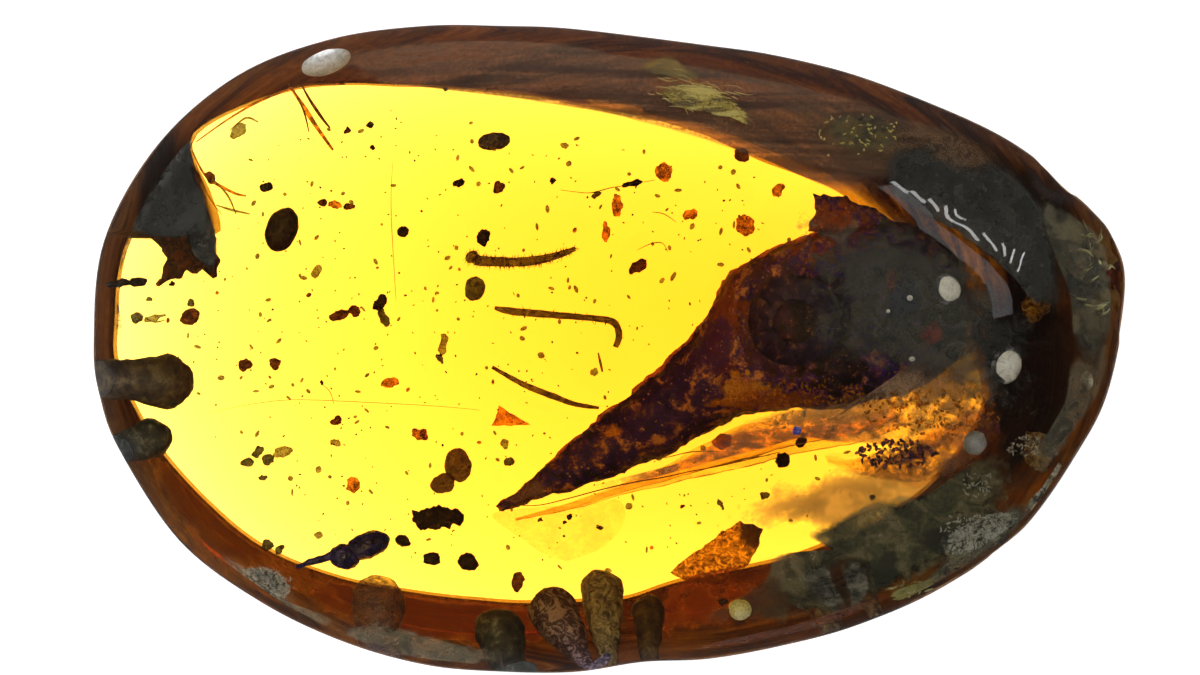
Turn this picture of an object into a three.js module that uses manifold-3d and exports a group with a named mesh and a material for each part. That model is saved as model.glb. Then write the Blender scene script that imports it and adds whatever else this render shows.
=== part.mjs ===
// A polished amber pebble with the skull of a tiny long-snouted animal sealed in it.
// Millimetres, +Z up. The stone lies on its one flat polished face. It is parted at PARTING_Z
// so that the fossils can lie in pockets, each with a running gap of CLEARANCE around it.
import * as THREE from 'three';
import { mergeVertices } from 'three/addons/utils/BufferGeometryUtils.js';
import Module from 'manifold-3d';

const wasm = await Module();
wasm.setup();

// ---- driving dimensions --------------------------------------------------------------------

const THICKNESS = 8.5;          // height of the stone as it lies
const PARTING_Z = 3.0;          // flat plane between the two halves of the stone
const APEX = [3, 1];            // highest point of the dome, as [x, y]
const GIRDLE_LOW = 3.2;         // height of the widest outline at the thin end
const GIRDLE_HIGH = 5.8;        // and at the thick end, over the skull
const DOME_SPREAD = 1.6;        // how far the dome stays full: 2 is round, 1 a cone
const DOME_EDGE = 1.3;          // how round the dome's edge is: 2 is round, 1 a cone
const WINDOW_CREASE = 60;       // degrees: how steeply the flank leaves the flat face
const CLEARANCE = 0.3;          // gap between a sealed piece and its pocket
const FOSSIL_Z = 3.4;           // middle plane of the skull at x = 0
const FOSSIL_TILT = 0.08;       // its rise per millimetre towards the back of the skull
const SPLAY = 0.2;              // how much each cheek leans outwards per millimetre of x

const STONE_SIDES = 60;         // facets round the stone
const FLANK_STEPS = 3;          // rings between the flat face and the girdle
const DOME_RINGS = [0.97, 0.88, 0.72, 0.48, 0.22];         // shares of the girdle's radius
const SPLINE_STEPS = 24;        // samples between two outline points

// Outlines of the stone seen from above: x runs to the blunt end, y across it.
const GIRDLE = [
  [15.5, 1.8], [15.2, 3.2], [14.4, 4.2], [13.6, 4.9], [12.9, 5.6], [11.7, 6.4], [10.0, 7.2],
  [7.4, 8.2], [5.0, 8.8], [3.0, 9.1], [-1.0, 9.6], [-3.2, 9.7], [-5.6, 9.7], [-8.4, 9.3],
  [-11.2, 8.2], [-13.6, 6.1], [-15.2, 3.2], [-15.5, 0.1], [-15.3, -1.5], [-14.7, -3.1],
  [-12.9, -5.8], [-10.5, -7.6], [-8.0, -8.8], [-5.5, -9.5], [-3.2, -9.7], [-1.0, -9.7],
  [1.0, -9.4], [3.0, -9.3], [5.2, -8.9], [7.4, -8.3], [9.9, -7.2], [12.3, -5.5], [14.1, -3.0],
  [15.0, -1.1],
];
// The flat face underneath, with a conchoidal chip out of its left edge.
const WINDOW = [
  [10.7, -1.2], [9.9, 0.7], [8.5, 2.3], [6.7, 3.7], [4.5, 4.5], [2.8, 5.2], [0.4, 5.8],
  [-3.7, 6.5], [-7.7, 6.9], [-9.9, 6.7], [-11.9, 5.7], [-11.4, 4.3], [-11.1, 3.5],
  [-11.2, 3.05], [-12.0, 3.1], [-13.0, 3.2], [-13.6, 3.15], [-13.95, 2.2], [-14.05, 0.9],
  [-14.0, -0.5],
  [-13.0, -2.4], [-11.4, -4.2], [-9.7, -5.4], [-7.5, -6.2], [-4.9, -6.6], [-2.7, -6.7],
  [-0.2, -6.6], [1.6, -6.2], [3.4, -5.8], [5.6, -5.3], [7.8, -4.4], [9.5, -3.2],
];

// Bones as sections from the snout back: top edge, bottom edge, half width across.
const SKULL = [
  { top: [-3.09, -4.39], bottom: [-3.04, -4.48], half: 0.12 },
  { top: [-2.49, -3.91], bottom: [-2.39, -4.26], half: 0.3 },
  { top: [-1.66, -3.17], bottom: [-1.33, -3.94], half: 0.5 },
  { top: [-0.8, -2.4], bottom: [-0.22, -3.63], half: 0.7 },
  { top: [0.03, -1.7], bottom: [0.87, -3.16], half: 0.9 },
  { top: [1.05, -0.95], bottom: [2.01, -2.63], half: 1.1 },
  { top: [1.97, -0.1], bottom: [3.0, -2.09], half: 1.3 },
  { top: [2.71, 0.69], bottom: [3.85, -1.7], half: 1.6 },
  { top: [3.21, 1.47], bottom: [4.89, -1.54], half: 1.95 },
  { top: [4.03, 2.2], bottom: [6.05, -1.56], half: 2.3 },
  { top: [5.19, 2.74], bottom: [7.19, -1.49], half: 2.5 },
  { top: [6.51, 3.19], bottom: [8.35, -1.24], half: 2.6 },
  { top: [7.82, 3.41], bottom: [9.39, -0.82], half: 2.5 },
  { top: [8.97, 3.31], bottom: [10.12, -0.27], half: 2.1 },
  { top: [9.87, 2.8], bottom: [10.41, 0.46], half: 1.4 },
  { top: [10.28, 2.16], bottom: [10.44, 1.33], half: 0.6 },
];
// One branch of the lower jaw; spread is how far its middle lies from the skull's middle plane.
const JAW = [
  { top: [-2.6, -4.72], bottom: [-2.55, -4.78], half: 0.2, spread: 0 },
  { top: [-1.3, -4.32], bottom: [-1.25, -4.47], half: 0.25, spread: 0.1 },
  { top: [1.0, -3.5], bottom: [1.1, -3.78], half: 0.3, spread: 0.5 },
  { top: [2.75, -2.65], bottom: [2.9, -3.35], half: 0.3, spread: 1.0 },
  { top: [4.0, -2.08], bottom: [4.2, -3.05], half: 0.35, spread: 1.4 },
  { top: [5.6, -1.97], bottom: [5.6, -2.7], half: 0.35, spread: 1.7 },
  { top: [7.3, -1.9], bottom: [7.45, -2.4], half: 0.3, spread: 1.9 },
  { top: [8.4, -1.68], bottom: [8.55, -1.98], half: 0.25, spread: 2.0 },
];
const NECK = [
  { top: [6.4, -2.95], bottom: [6.5, -3.15], half: 0.4 },
  { top: [7.6, -2.8], bottom: [7.8, -3.7], half: 0.9 },
  { top: [8.9, -2.4], bottom: [9.1, -4.0], half: 1.2 },
  { top: [10.1, -1.5], bottom: [10.3, -3.95], half: 1.15 },
  { top: [10.9, -1.3], bottom: [11.1, -3.3], half: 0.8 },
  { top: [11.4, -1.9], bottom: [11.5, -2.6], half: 0.4 },
];
const EYE = { at: [5.5, 0.8], radii: [1.75, 1.55], depth: 1.45, rim: 2.2, sides: 12 };
const NOSTRIL = { at: [0.2, -2.1], radii: [0.45, 0.3], depth: 0.5, rim: 0.8, sides: 8 };
const CHEEK_OPENING = { at: [3.7, -0.8], radii: [0.4, 0.45], depth: 0.5, rim: 1.5, sides: 8 };

const RING = {
  plates: 14, outer: 1.36, inner: 0.68, flatten: 0.89,  // overlapping bony plates
  base: 1.72, rise: 0.3, thin: 0.2, thick: 0.32,        // heights from the middle plane
};

// Mud-filled shell borings: from the rim inwards, [x, y, z] and radius at both ends.
const BORINGS = [
  { rim: [-16.0, -0.9, 3.2], bulb: [-13.0, -0.95, 3.0], neck: 0.5, round: 0.78 },
  { rim: [-15.3, -3.2, 3.2], bulb: [-13.5, -2.6, 2.8], neck: 0.42, round: 0.6 },
  { rim: [-7.1, -9.8, 4.0], bulb: [-6.75, -7.35, 3.2], neck: 0.4, round: 0.82 },
  { rim: [-2.8, -10.4, 4.5], bulb: [-3.2, -8.2, 3.6], neck: 0.5, round: 0.75 },
  { rim: [-0.3, -10.1, 5.2], bulb: [-1.6, -7.5, 3.6], neck: 0.16, round: 0.74 },
  { rim: [0.0, -10.2, 3.8], bulb: [-0.15, -6.75, 3.1], neck: 0.2, round: 0.6 },
  { rim: [1.3, -10.0, 4.4], bulb: [1.2, -7.4, 3.2], neck: 0.2, round: 0.52 },
  { rim: [7.0, -9.0, 4.8], bulb: [5.9, -6.35, 3.2], neck: 0.3, round: 0.57 },
  { rim: [8.2, -8.4, 4.6], bulb: [7.3, -6.2, 3.3], neck: 0.2, round: 0.4 },
];
// Crumbly pale mineral grown in old cracks near the rim.
const LUMPS = [
  { at: [12.5, -2.8, 3.2], radii: [0.45, 0.6, 0.5] },
  { at: [10.9, -4.8, 3.1], radii: [0.65, 0.42, 0.45] },
  { at: [9.0, -5.8, 3.1], radii: [0.4, 0.4, 0.4] },
  { at: [12.4, 1.3, 3.2], radii: [0.35, 0.45, 0.4] },
];

// Legs: a path through [x, y, z] and the thickness along it.
const LEGS = [
  { path: [[-3.7, 2.45, 3.0], [-2.9, 2.4, 3.1], [-2.1, 2.4, 3.1], [-1.4, 2.5, 3.0],
    [-0.8, 2.65, 2.9]], radius: [0.12, 0.1, 0.09, 0.07] },
  { path: [[-3.1, 1.2, 2.9], [-2.6, 1.1, 3.0], [-1.4, 1.0, 3.1], [-0.2, 0.9, 3.1],
    [0.35, 0.8, 3.0], [0.5, 0.5, 3.0], [0.4, 0.15, 3.0]], radius: [0.05, 0.1, 0.1, 0.09] },
  { path: [[-3.2, -0.4, 3.0], [-2.3, -0.9, 3.1], [-1.4, -1.2, 3.0], [-0.8, -1.4, 2.9],
    [-0.1, -1.5, 2.9]], radius: [0.06, 0.1, 0.1, 0.06] },
];

// Flat scraps: outline seen from above, middle height and thickness.
const BARK = { outline: [[-13.6, 3.3], [-13.0, 3.6], [-12.1, 3.4], [-11.6, 3.3], [-11.4, 2.7],
  [-11.5, 2.0], [-12.0, 2.4], [-12.6, 2.1], [-13.2, 1.9], [-13.1, 2.8]], z: 3.0,
  thickness: 0.5 };
const LEAF = { outline: [[1.9, -6.2], [2.5, -5.7], [3.3, -5.05], [3.9, -4.7], [4.6, -4.9],
  [4.3, -5.8], [3.4, -6.5], [2.5, -6.5]], z: 3.0, thickness: 0.5 };
const HUSK = { outline: [[-3.0, -1.5], [-3.25, -2.05], [-2.1, -2.0]], z: 3.0,
  thickness: 0.3 };

// Round and lumpy bits: [x, y, z], radii, and a turn about Z in degrees.
const BEETLE = {
  body: [
    { at: [-7.0, -5.6, 3.0], radii: [0.72, 0.4, 0.4], turn: 20 },
    { at: [-7.7, -5.95, 2.95], radii: [0.48, 0.4, 0.38], turn: 0 },
  ],
  stalk: { path: [[-9.2, -6.3, 3.0], [-8.6, -6.1, 3.0], [-7.9, -5.85, 3.0]],
    radius: [0.1, 0.14] },
};
const BITS = {
  dirt_ball: [{ at: [-3.7, 1.7, 3.0], radii: [0.33, 0.33, 0.33], turn: 0 }],
  dark_chunk: [{ at: [-4.9, -4.75, 3.0], radii: [0.78, 0.32, 0.35], turn: 4 }],
  double_pellet: [
    { at: [-4.25, -3.2, 3.0], radii: [0.4, 0.52, 0.38], turn: 10 },
    { at: [-4.7, -3.75, 3.0], radii: [0.4, 0.3, 0.33], turn: 20 },
  ],
  pellet_1: [{ at: [-9.5, 3.4, 3.1], radii: [0.5, 0.68, 0.42], turn: -25 }],
  pellet_2: [{ at: [-3.3, 5.6, 3.0], radii: [0.48, 0.25, 0.25], turn: 0 }],
};

const FINISHES = {
  amber: { color: 0xf0b419, roughness: 0.05, metalness: 0 },
  bone: { color: 0x4a2a2c, roughness: 0.6, metalness: 0 },
  tissue: { color: 0x9a5a24, roughness: 0.5, metalness: 0 },
  mud: { color: 0x3a3026, roughness: 0.7, metalness: 0 },
  mineral: { color: 0x8d8c78, roughness: 0.6, metalness: 0 },
  plant: { color: 0x8f3f0e, roughness: 0.6, metalness: 0 },
  chitin: { color: 0x14151f, roughness: 0.35, metalness: 0 },
  leg: { color: 0x6a4c14, roughness: 0.5, metalness: 0 },
};

// ---- shapes --------------------------------------------------------------------------------

const FULL_TURN = 2 * Math.PI;

/** A closed mesh from index triples, turned so that its faces point outwards. */
function closedGeometry(positions, triangles) {
  const geometry = new THREE.BufferGeometry();
  geometry.setAttribute('position', new THREE.Float32BufferAttribute(positions, 3));
  const corner = (i) => new THREE.Vector3().fromArray(positions, 3 * i);
  const volume = triangles.reduce((sum, [a, b, c]) => (
    sum + corner(a).dot(corner(b).cross(corner(c)))), 0);
  const order = volume < 0 ? triangles.map(([a, b, c]) => [a, c, b]) : triangles;
  geometry.setIndex(order.flat());
  return geometry;
}

/** Skin over rings of equal length: capped at both ends, or joined end to end. */
function loft(rings, isLoop = false) {
  const count = rings[0].length;
  const positions = rings.flat().flatMap((p) => p.toArray());
  const triangles = [];
  const spans = isLoop ? rings.length : rings.length - 1;
  for (let k = 0; k < spans; k += 1) {
    const next = (k + 1) % rings.length;
    for (let i = 0; i < count; i += 1) {
      const j = (i + 1) % count;
      triangles.push([k * count + i, k * count + j, next * count + j]);
      triangles.push([k * count + i, next * count + j, next * count + i]);
    }
  }
  if (!isLoop) {
    for (const [end, flip] of [[0, true], [rings.length - 1, false]]) {
      const middle = new THREE.Vector3();
      rings[end].forEach((p) => middle.addScaledVector(p, 1 / count));
      const hub = positions.length / 3;
      positions.push(...middle.toArray());
      for (let i = 0; i < count; i += 1) {
        const here = end * count + i;
        const there = end * count + (i + 1) % count;
        triangles.push(flip ? [hub, there, here] : [hub, here, there]);
      }
    }
  }
  return closedGeometry(positions, triangles);
}

/** A solid that can be cut and joined, from a closed geometry. */
function solid(geometry) {
  const bare = geometry.clone();
  bare.deleteAttribute('normal');
  bare.deleteAttribute('uv');
  const merged = mergeVertices(bare, 1e-4);
  const vertProperties = new Float32Array(merged.attributes.position.array);
  const triVerts = new Uint32Array(merged.index.array);
  return new wasm.Manifold(new wasm.Mesh({ numProp: 3, vertProperties, triVerts }));
}

function joined(solids) {
  return solids.reduce((whole, next) => whole.add(next));
}

/** Distance of a closed outline from the apex, as a function of the angle. */
function radialProfile(points) {
  const corners = points.map(([x, y]) => new THREE.Vector3(x - APEX[0], y - APEX[1], 0));
  const spline = new THREE.CatmullRomCurve3(corners, true, 'catmullrom', 0.5);
  const polar = spline.getPoints(points.length * SPLINE_STEPS)
    .map((p) => [(Math.atan2(p.y, p.x) + FULL_TURN) % FULL_TURN, Math.hypot(p.x, p.y)])
    .sort((a, b) => a[0] - b[0]);
  return (angle) => {
    const after = polar.findIndex(([a]) => a >= angle);
    const [a1, r1] = polar[after < 0 ? 0 : after];
    const [a0, r0] = polar[after <= 0 ? polar.length - 1 : after - 1];
    const span = (a1 - a0 + FULL_TURN) % FULL_TURN;
    const along = (angle - a0 + FULL_TURN) % FULL_TURN;
    return span > 1e-9 ? r0 + (r1 - r0) * along / span : r0;
  };
}

/** Height of the girdle over a point of its outline: low at the thin end, high at the thick. */
function girdleHeight(x, y) {
  const share = THREE.MathUtils.smoothstep(0.9 * x - 0.4 * y, -13, 15);
  return THREE.MathUtils.lerp(GIRDLE_LOW, GIRDLE_HIGH, share);
}

/** The whole pebble: flat face, undercut flank and dome. */
function stoneGeometry() {
  const [girdle, flatFace] = [GIRDLE, WINDOW].map(radialProfile);
  const spokes = Array.from({ length: STONE_SIDES }, (_, i) => {
    const angle = FULL_TURN * i / STONE_SIDES;
    const [wide, flat] = [girdle(angle), flatFace(angle)];
    const [along, across] = [Math.cos(angle), Math.sin(angle)];
    const high = girdleHeight(APEX[0] + wide * along, APEX[1] + wide * across);
    return { wide, flat, along, across, high };
  });
  const ring = (place) => spokes.map((spoke) => {
    const [radius, z] = place(spoke);
    return new THREE.Vector3(APEX[0] + radius * spoke.along, APEX[1] + radius * spoke.across, z);
  });
  const crease = THREE.MathUtils.degToRad(WINDOW_CREASE);
  const rings = [];
  for (let k = 0; k <= FLANK_STEPS; k += 1) {
    const tilt = crease + (Math.PI / 2 - crease) * k / FLANK_STEPS;
    const out = (Math.sin(tilt) - Math.sin(crease)) / (1 - Math.sin(crease));
    const up = (Math.cos(crease) - Math.cos(tilt)) / Math.cos(crease);
    rings.push(ring(({ wide, flat, high }) => [flat + (wide - flat) * out, high * up]));
  }
  for (const share of DOME_RINGS) {
    const rise = (1 - share ** DOME_SPREAD) ** (1 / DOME_EDGE);
    rings.push(ring(({ wide, high }) => [wide * share, high + (THICKNESS - high) * rise]));
  }
  const geometry = loft(rings);
  const position = geometry.attributes.position;
  position.setXYZ(position.count - 2, ...APEX, 0);
  position.setXYZ(position.count - 1, ...APEX, THICKNESS);
  return geometry;
}

/** Height of the skull's middle plane. */
function fossilHeight(x) {
  return FOSSIL_Z + FOSSIL_TILT * x;
}

/** A bone from sections, each swollen by `grow` and, at both ends, lengthened by it. */
function boneGeometry(sections, { grow = 0, side = 0, sides = 12 } = {}) {
  const centres = sections.map(({ top, bottom, spread = 0 }) => {
    const x = (top[0] + bottom[0]) / 2;
    return new THREE.Vector3(x, (top[1] + bottom[1]) / 2, fossilHeight(x) + side * spread);
  });
  const rings = sections.map(({ top, bottom, half }, k) => {
    const up = new THREE.Vector3(top[0] - bottom[0], top[1] - bottom[1], 0);
    const reach = up.length() / 2 + grow;
    up.normalize();
    const centre = centres[k].clone();
    if (k === 0) centre.addScaledVector(centres[0].clone().sub(centres[1]).normalize(), grow);
    if (k === sections.length - 1) {
      centre.addScaledVector(centres[k].clone().sub(centres[k - 1]).normalize(), grow);
    }
    return Array.from({ length: sides }, (_, i) => {
      const turn = FULL_TURN * i / sides;
      return centre.clone().addScaledVector(up, reach * Math.cos(turn))
        .add(new THREE.Vector3(0, 0, (half + grow) * Math.sin(turn)));
    });
  });
  return loft(rings);
}

/** A round bar through points, its thickness eased from one listed radius to the next. */
function limbGeometry({ path, radius }, grow = 0, sides = 6) {
  const spline = new THREE.CatmullRomCurve3(path.map((p) => new THREE.Vector3(...p)));
  const steps = path.length;
  const up = new THREE.Vector3(0, 0, 1);
  const rings = [];
  for (let k = 0; k <= steps; k += 1) {
    const along = k / steps;
    const forward = spline.getTangentAt(along);
    const across = forward.clone().cross(up).normalize();
    const over = across.clone().cross(forward);
    const centre = spline.getPointAt(along);
    if (k === 0) centre.addScaledVector(forward, -grow);
    if (k === steps) centre.addScaledVector(forward, grow);
    const place = along * (radius.length - 1);
    const before = Math.min(Math.floor(place), radius.length - 2);
    const size = THREE.MathUtils.lerp(radius[before], radius[before + 1], place - before) + grow;
    rings.push(Array.from({ length: sides }, (_, i) => {
      const turn = FULL_TURN * i / sides;
      return centre.clone().addScaledVector(across, size * Math.cos(turn))
        .addScaledVector(over, size * Math.sin(turn));
    }));
  }
  return loft(rings);
}

/** A club: a neck at the rim that widens into a round end. */
function clubGeometry({ rim, bulb, neck, round }, grow = 0, sides = 7) {
  const start = new THREE.Vector3(...rim);
  const end = new THREE.Vector3(...bulb);
  const forward = end.clone().sub(start).normalize();
  const across = forward.clone().cross(new THREE.Vector3(0, 0, 1)).normalize();
  const over = across.clone().cross(forward);
  const straight = end.distanceTo(start);
  const stations = [[0, neck], [0.35 * straight, THREE.MathUtils.lerp(neck, round, 0.3)],
    [0.7 * straight, THREE.MathUtils.lerp(neck, round, 0.8)]];
  for (const tilt of [0, 35, 68]) {
    const t = THREE.MathUtils.degToRad(tilt);
    stations.push([straight + round * Math.sin(t), round * Math.cos(t)]);
  }
  const rings = stations.map(([distance, size], k) => {
    const isLast = k === stations.length - 1;
    const centre = start.clone().addScaledVector(forward, distance + (isLast ? grow : 0));
    return Array.from({ length: sides }, (_, i) => {
      const turn = FULL_TURN * i / sides;
      return centre.clone().addScaledVector(across, (size + grow) * Math.cos(turn))
        .addScaledVector(over, (size + grow) * Math.sin(turn));
    });
  });
  return loft(rings);
}

/** An egg shape, swollen by `grow`. */
function eggGeometry({ at, radii, turn = 0 }, grow = 0, sides = 10) {
  const geometry = new THREE.SphereGeometry(1, sides, Math.round(sides * 0.6));
  geometry.rotateX(Math.PI / 2);
  geometry.scale(...radii.map((r) => r + grow));
  geometry.rotateZ(THREE.MathUtils.degToRad(turn));
  geometry.translate(...at);
  return geometry;
}

/** A crumbly lump: an egg whose corners stand in and out by turns. */
function lumpGeometry({ at, radii }) {
  const geometry = new THREE.IcosahedronGeometry(1, 1);
  geometry.deleteAttribute('normal');
  geometry.deleteAttribute('uv');
  const lump = mergeVertices(geometry, 1e-4);
  const position = lump.attributes.position;
  for (let i = 0; i < position.count; i += 1) {
    const swell = 1 - 0.22 * (i % 3) / 2;
    position.setXYZ(i, position.getX(i) * radii[0] * swell, position.getY(i) * radii[1] * swell,
      position.getZ(i) * radii[2] * swell);
  }
  lump.translate(...at);
  return lump;
}

/** A flat scrap from its outline, widened all round by `grow`. */
function scrapGeometry({ outline, z, thickness }, grow = 0) {
  const corners = outline.map(([x, y]) => new THREE.Vector2(x, y));
  const area = THREE.ShapeUtils.area(corners);
  const outward = Math.sign(area);
  const wide = corners.map((corner, i) => {
    const before = corners[(i + corners.length - 1) % corners.length];
    const after = corners[(i + 1) % corners.length];
    const arriving = corner.clone().sub(before).normalize();
    const leaving = after.clone().sub(corner).normalize();
    const normal = new THREE.Vector2(arriving.y + leaving.y, -arriving.x - leaving.x);
    normal.multiplyScalar(outward).normalize();
    const square = Math.abs(normal.dot(new THREE.Vector2(arriving.y, -arriving.x)));
    return corner.clone().addScaledVector(normal, grow / Math.max(0.4, square));
  });
  const depth = thickness + 2 * grow;
  const geometry = new THREE.ExtrudeGeometry(new THREE.Shape(wide), { depth, bevelEnabled: false });
  geometry.translate(0, 0, z - depth / 2);
  return geometry;
}

/** The ring of overlapping plates in one eye; side is +1 (facing up) or -1. */
function scleralRing(side) {
  const rings = [];
  for (let plate = 0; plate < RING.plates; plate += 1) {
    for (const [share, height] of [[0, RING.thick], [0.9, RING.thin]]) {
      const turn = FULL_TURN * (plate + share) / RING.plates;
      const corner = (radius, z) => new THREE.Vector3(
        EYE.at[0] + radius * Math.cos(turn),
        EYE.at[1] + radius * RING.flatten * Math.sin(turn),
        fossilHeight(EYE.at[0]) + side * (z + SPLAY * radius * Math.cos(turn)));
      rings.push([
        corner(RING.inner, RING.base + RING.rise), corner(RING.outer, RING.base),
        corner((RING.inner + RING.outer) / 2, RING.base + RING.rise / 2 + height),
      ]);
    }
  }
  return solid(loft(rings, true));
}

/** A hollow in both cheeks of the skull, leaning with the cheek. */
function hollowPair({ at, radii, depth, rim, sides }) {
  return joined([1, -1].map((side) => {
    const hollow = eggGeometry({ at: [0, 0, 0], radii: [...radii, depth] }, 0, sides);
    hollow.applyMatrix4(new THREE.Matrix4().makeShear(0, side * SPLAY, 0, 0, 0, 0));
    hollow.translate(...at, fossilHeight(at[0]) + side * rim);
    return solid(hollow);
  }));
}

// ---- pieces and their pockets --------------------------------------------------------------

const pieces = [];
const pockets = [];

/** Keep a piece with its finish, and the pocket that it needs in the stone. */
function seal(name, finish, piece, pocket) {
  pieces.push({ name, finish, piece });
  pockets.push(pocket);
}

const stone = solid(stoneGeometry());

const skull = [EYE, NOSTRIL, CHEEK_OPENING].map(hollowPair)
  .reduce((bone, hollow) => bone.subtract(hollow), solid(boneGeometry(SKULL)));
seal('skull', 'bone', skull, solid(boneGeometry(SKULL, { grow: CLEARANCE, sides: 12 })));

const jawBranches = (grow) => joined([1, -1].map((side) => (
  solid(boneGeometry(JAW, { grow, side, sides: 8 })))));
seal('lower_jaw', 'bone', jawBranches(0), jawBranches(CLEARANCE));

for (const [name, side] of [['scleral_ring_right', 1], ['scleral_ring_left', -1]]) {
  pieces.push({ name, finish: 'bone', piece: scleralRing(side) });
}

seal('neck_tissue', 'tissue', solid(boneGeometry(NECK, { sides: 12 })),
  solid(boneGeometry(NECK, { grow: CLEARANCE, sides: 8 })));

BORINGS.forEach((boring, i) => {
  seal(`boring_cast_${i + 1}`, 'mud', solid(clubGeometry(boring)).intersect(stone),
    solid(clubGeometry(boring, CLEARANCE)));
});

LUMPS.forEach((lump, i) => {
  seal(`mineral_lump_${i + 1}`, 'mineral', solid(lumpGeometry(lump)),
    solid(eggGeometry(lump, CLEARANCE, 6)));
});

LEGS.forEach((leg, i) => {
  seal(`insect_leg_${i + 1}`, 'leg', solid(limbGeometry(leg)),
    solid(limbGeometry(leg, CLEARANCE)));
});

for (const [name, scrap] of [['bark_scrap', BARK], ['leaf_scrap', LEAF], ['seed_husk', HUSK]]) {
  seal(name, 'plant', solid(scrapGeometry(scrap)), solid(scrapGeometry(scrap, CLEARANCE)));
}

const beetle = (grow, sides) => joined([
  ...BEETLE.body.map((egg) => solid(eggGeometry(egg, grow, sides))),
  solid(limbGeometry(BEETLE.stalk, grow)),
]);
seal('beetle', 'chitin', beetle(0, 8), beetle(CLEARANCE, 6));

for (const [name, eggs] of Object.entries(BITS)) {
  const lumps = (grow, sides) => joined(eggs.map((egg) => solid(eggGeometry(egg, grow, sides))));
  seal(name, 'mud', lumps(0, 8), lumps(CLEARANCE, 6));
}

/** A box that holds all of the stone on one side of the parting plane. */
function halfSpace(side) {
  const box = new THREE.BoxGeometry(40, 30, 16);
  box.translate(0, 0, PARTING_Z + side * 8);
  return solid(box);
}

const hollowStone = stone.subtract(joined(pockets));
pieces.unshift(
  { name: 'amber_lower', finish: 'amber', piece: hollowStone.intersect(halfSpace(-1)) },
  { name: 'amber_upper', finish: 'amber', piece: hollowStone.intersect(halfSpace(1)) },
);

// ---- the object ----------------------------------------------------------------------------

/** A named mesh from a solid, in flat facets. */
function namedMesh({ name, finish, piece }) {
  const { numProp, vertProperties, triVerts } = piece.getMesh();
  const geometry = new THREE.BufferGeometry();
  geometry.setAttribute('position', new THREE.BufferAttribute(
    Float32Array.from(vertProperties), numProp));
  geometry.setIndex(Array.from(triVerts));
  const mesh = new THREE.Mesh(geometry, new THREE.MeshStandardMaterial(FINISHES[finish]));
  mesh.name = name;
  return mesh;
}

const fossil = new THREE.Group();
pieces.forEach((entry) => fossil.add(namedMesh(entry)));

// The stone's own middle stands on the origin.
const extent = new THREE.Box3().setFromObject(fossil);
fossil.position.set(-(extent.min.x + extent.max.x) / 2, -(extent.min.y + extent.max.y) / 2, 0);

const group = new THREE.Group();
group.add(fossil);

export default group;
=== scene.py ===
"""A polished amber pebble lying on its flat face, with a small long-snouted skull sealed in it.

Sizes are in millimetres until a mesh is finished; Blender's own unit is the metre.
"""

import logging
import math
import random
from bisect import bisect
from collections.abc import Callable, Iterable, Sequence
from dataclasses import dataclass, replace
from enum import Enum
from functools import cached_property

import bmesh
import bpy
from mathutils import Matrix, Vector, noise


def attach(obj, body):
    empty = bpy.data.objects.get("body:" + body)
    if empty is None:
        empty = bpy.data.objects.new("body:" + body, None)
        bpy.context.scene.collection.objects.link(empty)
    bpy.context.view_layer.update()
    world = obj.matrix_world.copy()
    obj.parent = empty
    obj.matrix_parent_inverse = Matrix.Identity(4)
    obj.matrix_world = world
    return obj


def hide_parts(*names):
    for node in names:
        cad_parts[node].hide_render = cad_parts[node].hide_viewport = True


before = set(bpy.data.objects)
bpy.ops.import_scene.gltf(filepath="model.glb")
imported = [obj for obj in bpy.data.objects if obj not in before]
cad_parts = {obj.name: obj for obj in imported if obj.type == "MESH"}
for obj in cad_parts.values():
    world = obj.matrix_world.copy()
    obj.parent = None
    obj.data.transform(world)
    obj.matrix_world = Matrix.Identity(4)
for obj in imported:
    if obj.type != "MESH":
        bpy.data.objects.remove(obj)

MM = 0.001
TURN = 2 * math.pi
BODY = "root"
log = logging.getLogger("amber")

Pair = tuple[float, float]
Triple = tuple[float, float, float]
Tones = tuple[tuple[float, Triple], ...]    # places along a number from 0 to 1, with colours
Socket = bpy.types.NodeSocket


class Slot(Enum):
    """The record's material slots."""

    AMBER = "amber"
    BONE = "bone"
    TISSUE = "tissue"
    MUD = "mud"
    MINERAL = "mineral"
    PLANT = "plant"
    CHITIN = "chitin"
    LEG = "leg"


# ---- materials ------------------------------------------------------------------------------


def set_stops(ramp: bpy.types.Node, tones: Tones) -> None:
    """Give a colour ramp its stops.

    Args:
        ramp: the ramp's node.
        tones: the places and colours of its stops.
    """
    stops = ramp.color_ramp.elements
    while len(stops) < len(tones):
        stops.new(0.5)
    for stop, (place, _) in zip(stops, tones):
        stop.position = place
    for stop, (_, colour) in zip(stops, tones):
        stop.color = (*colour, 1)


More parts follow.
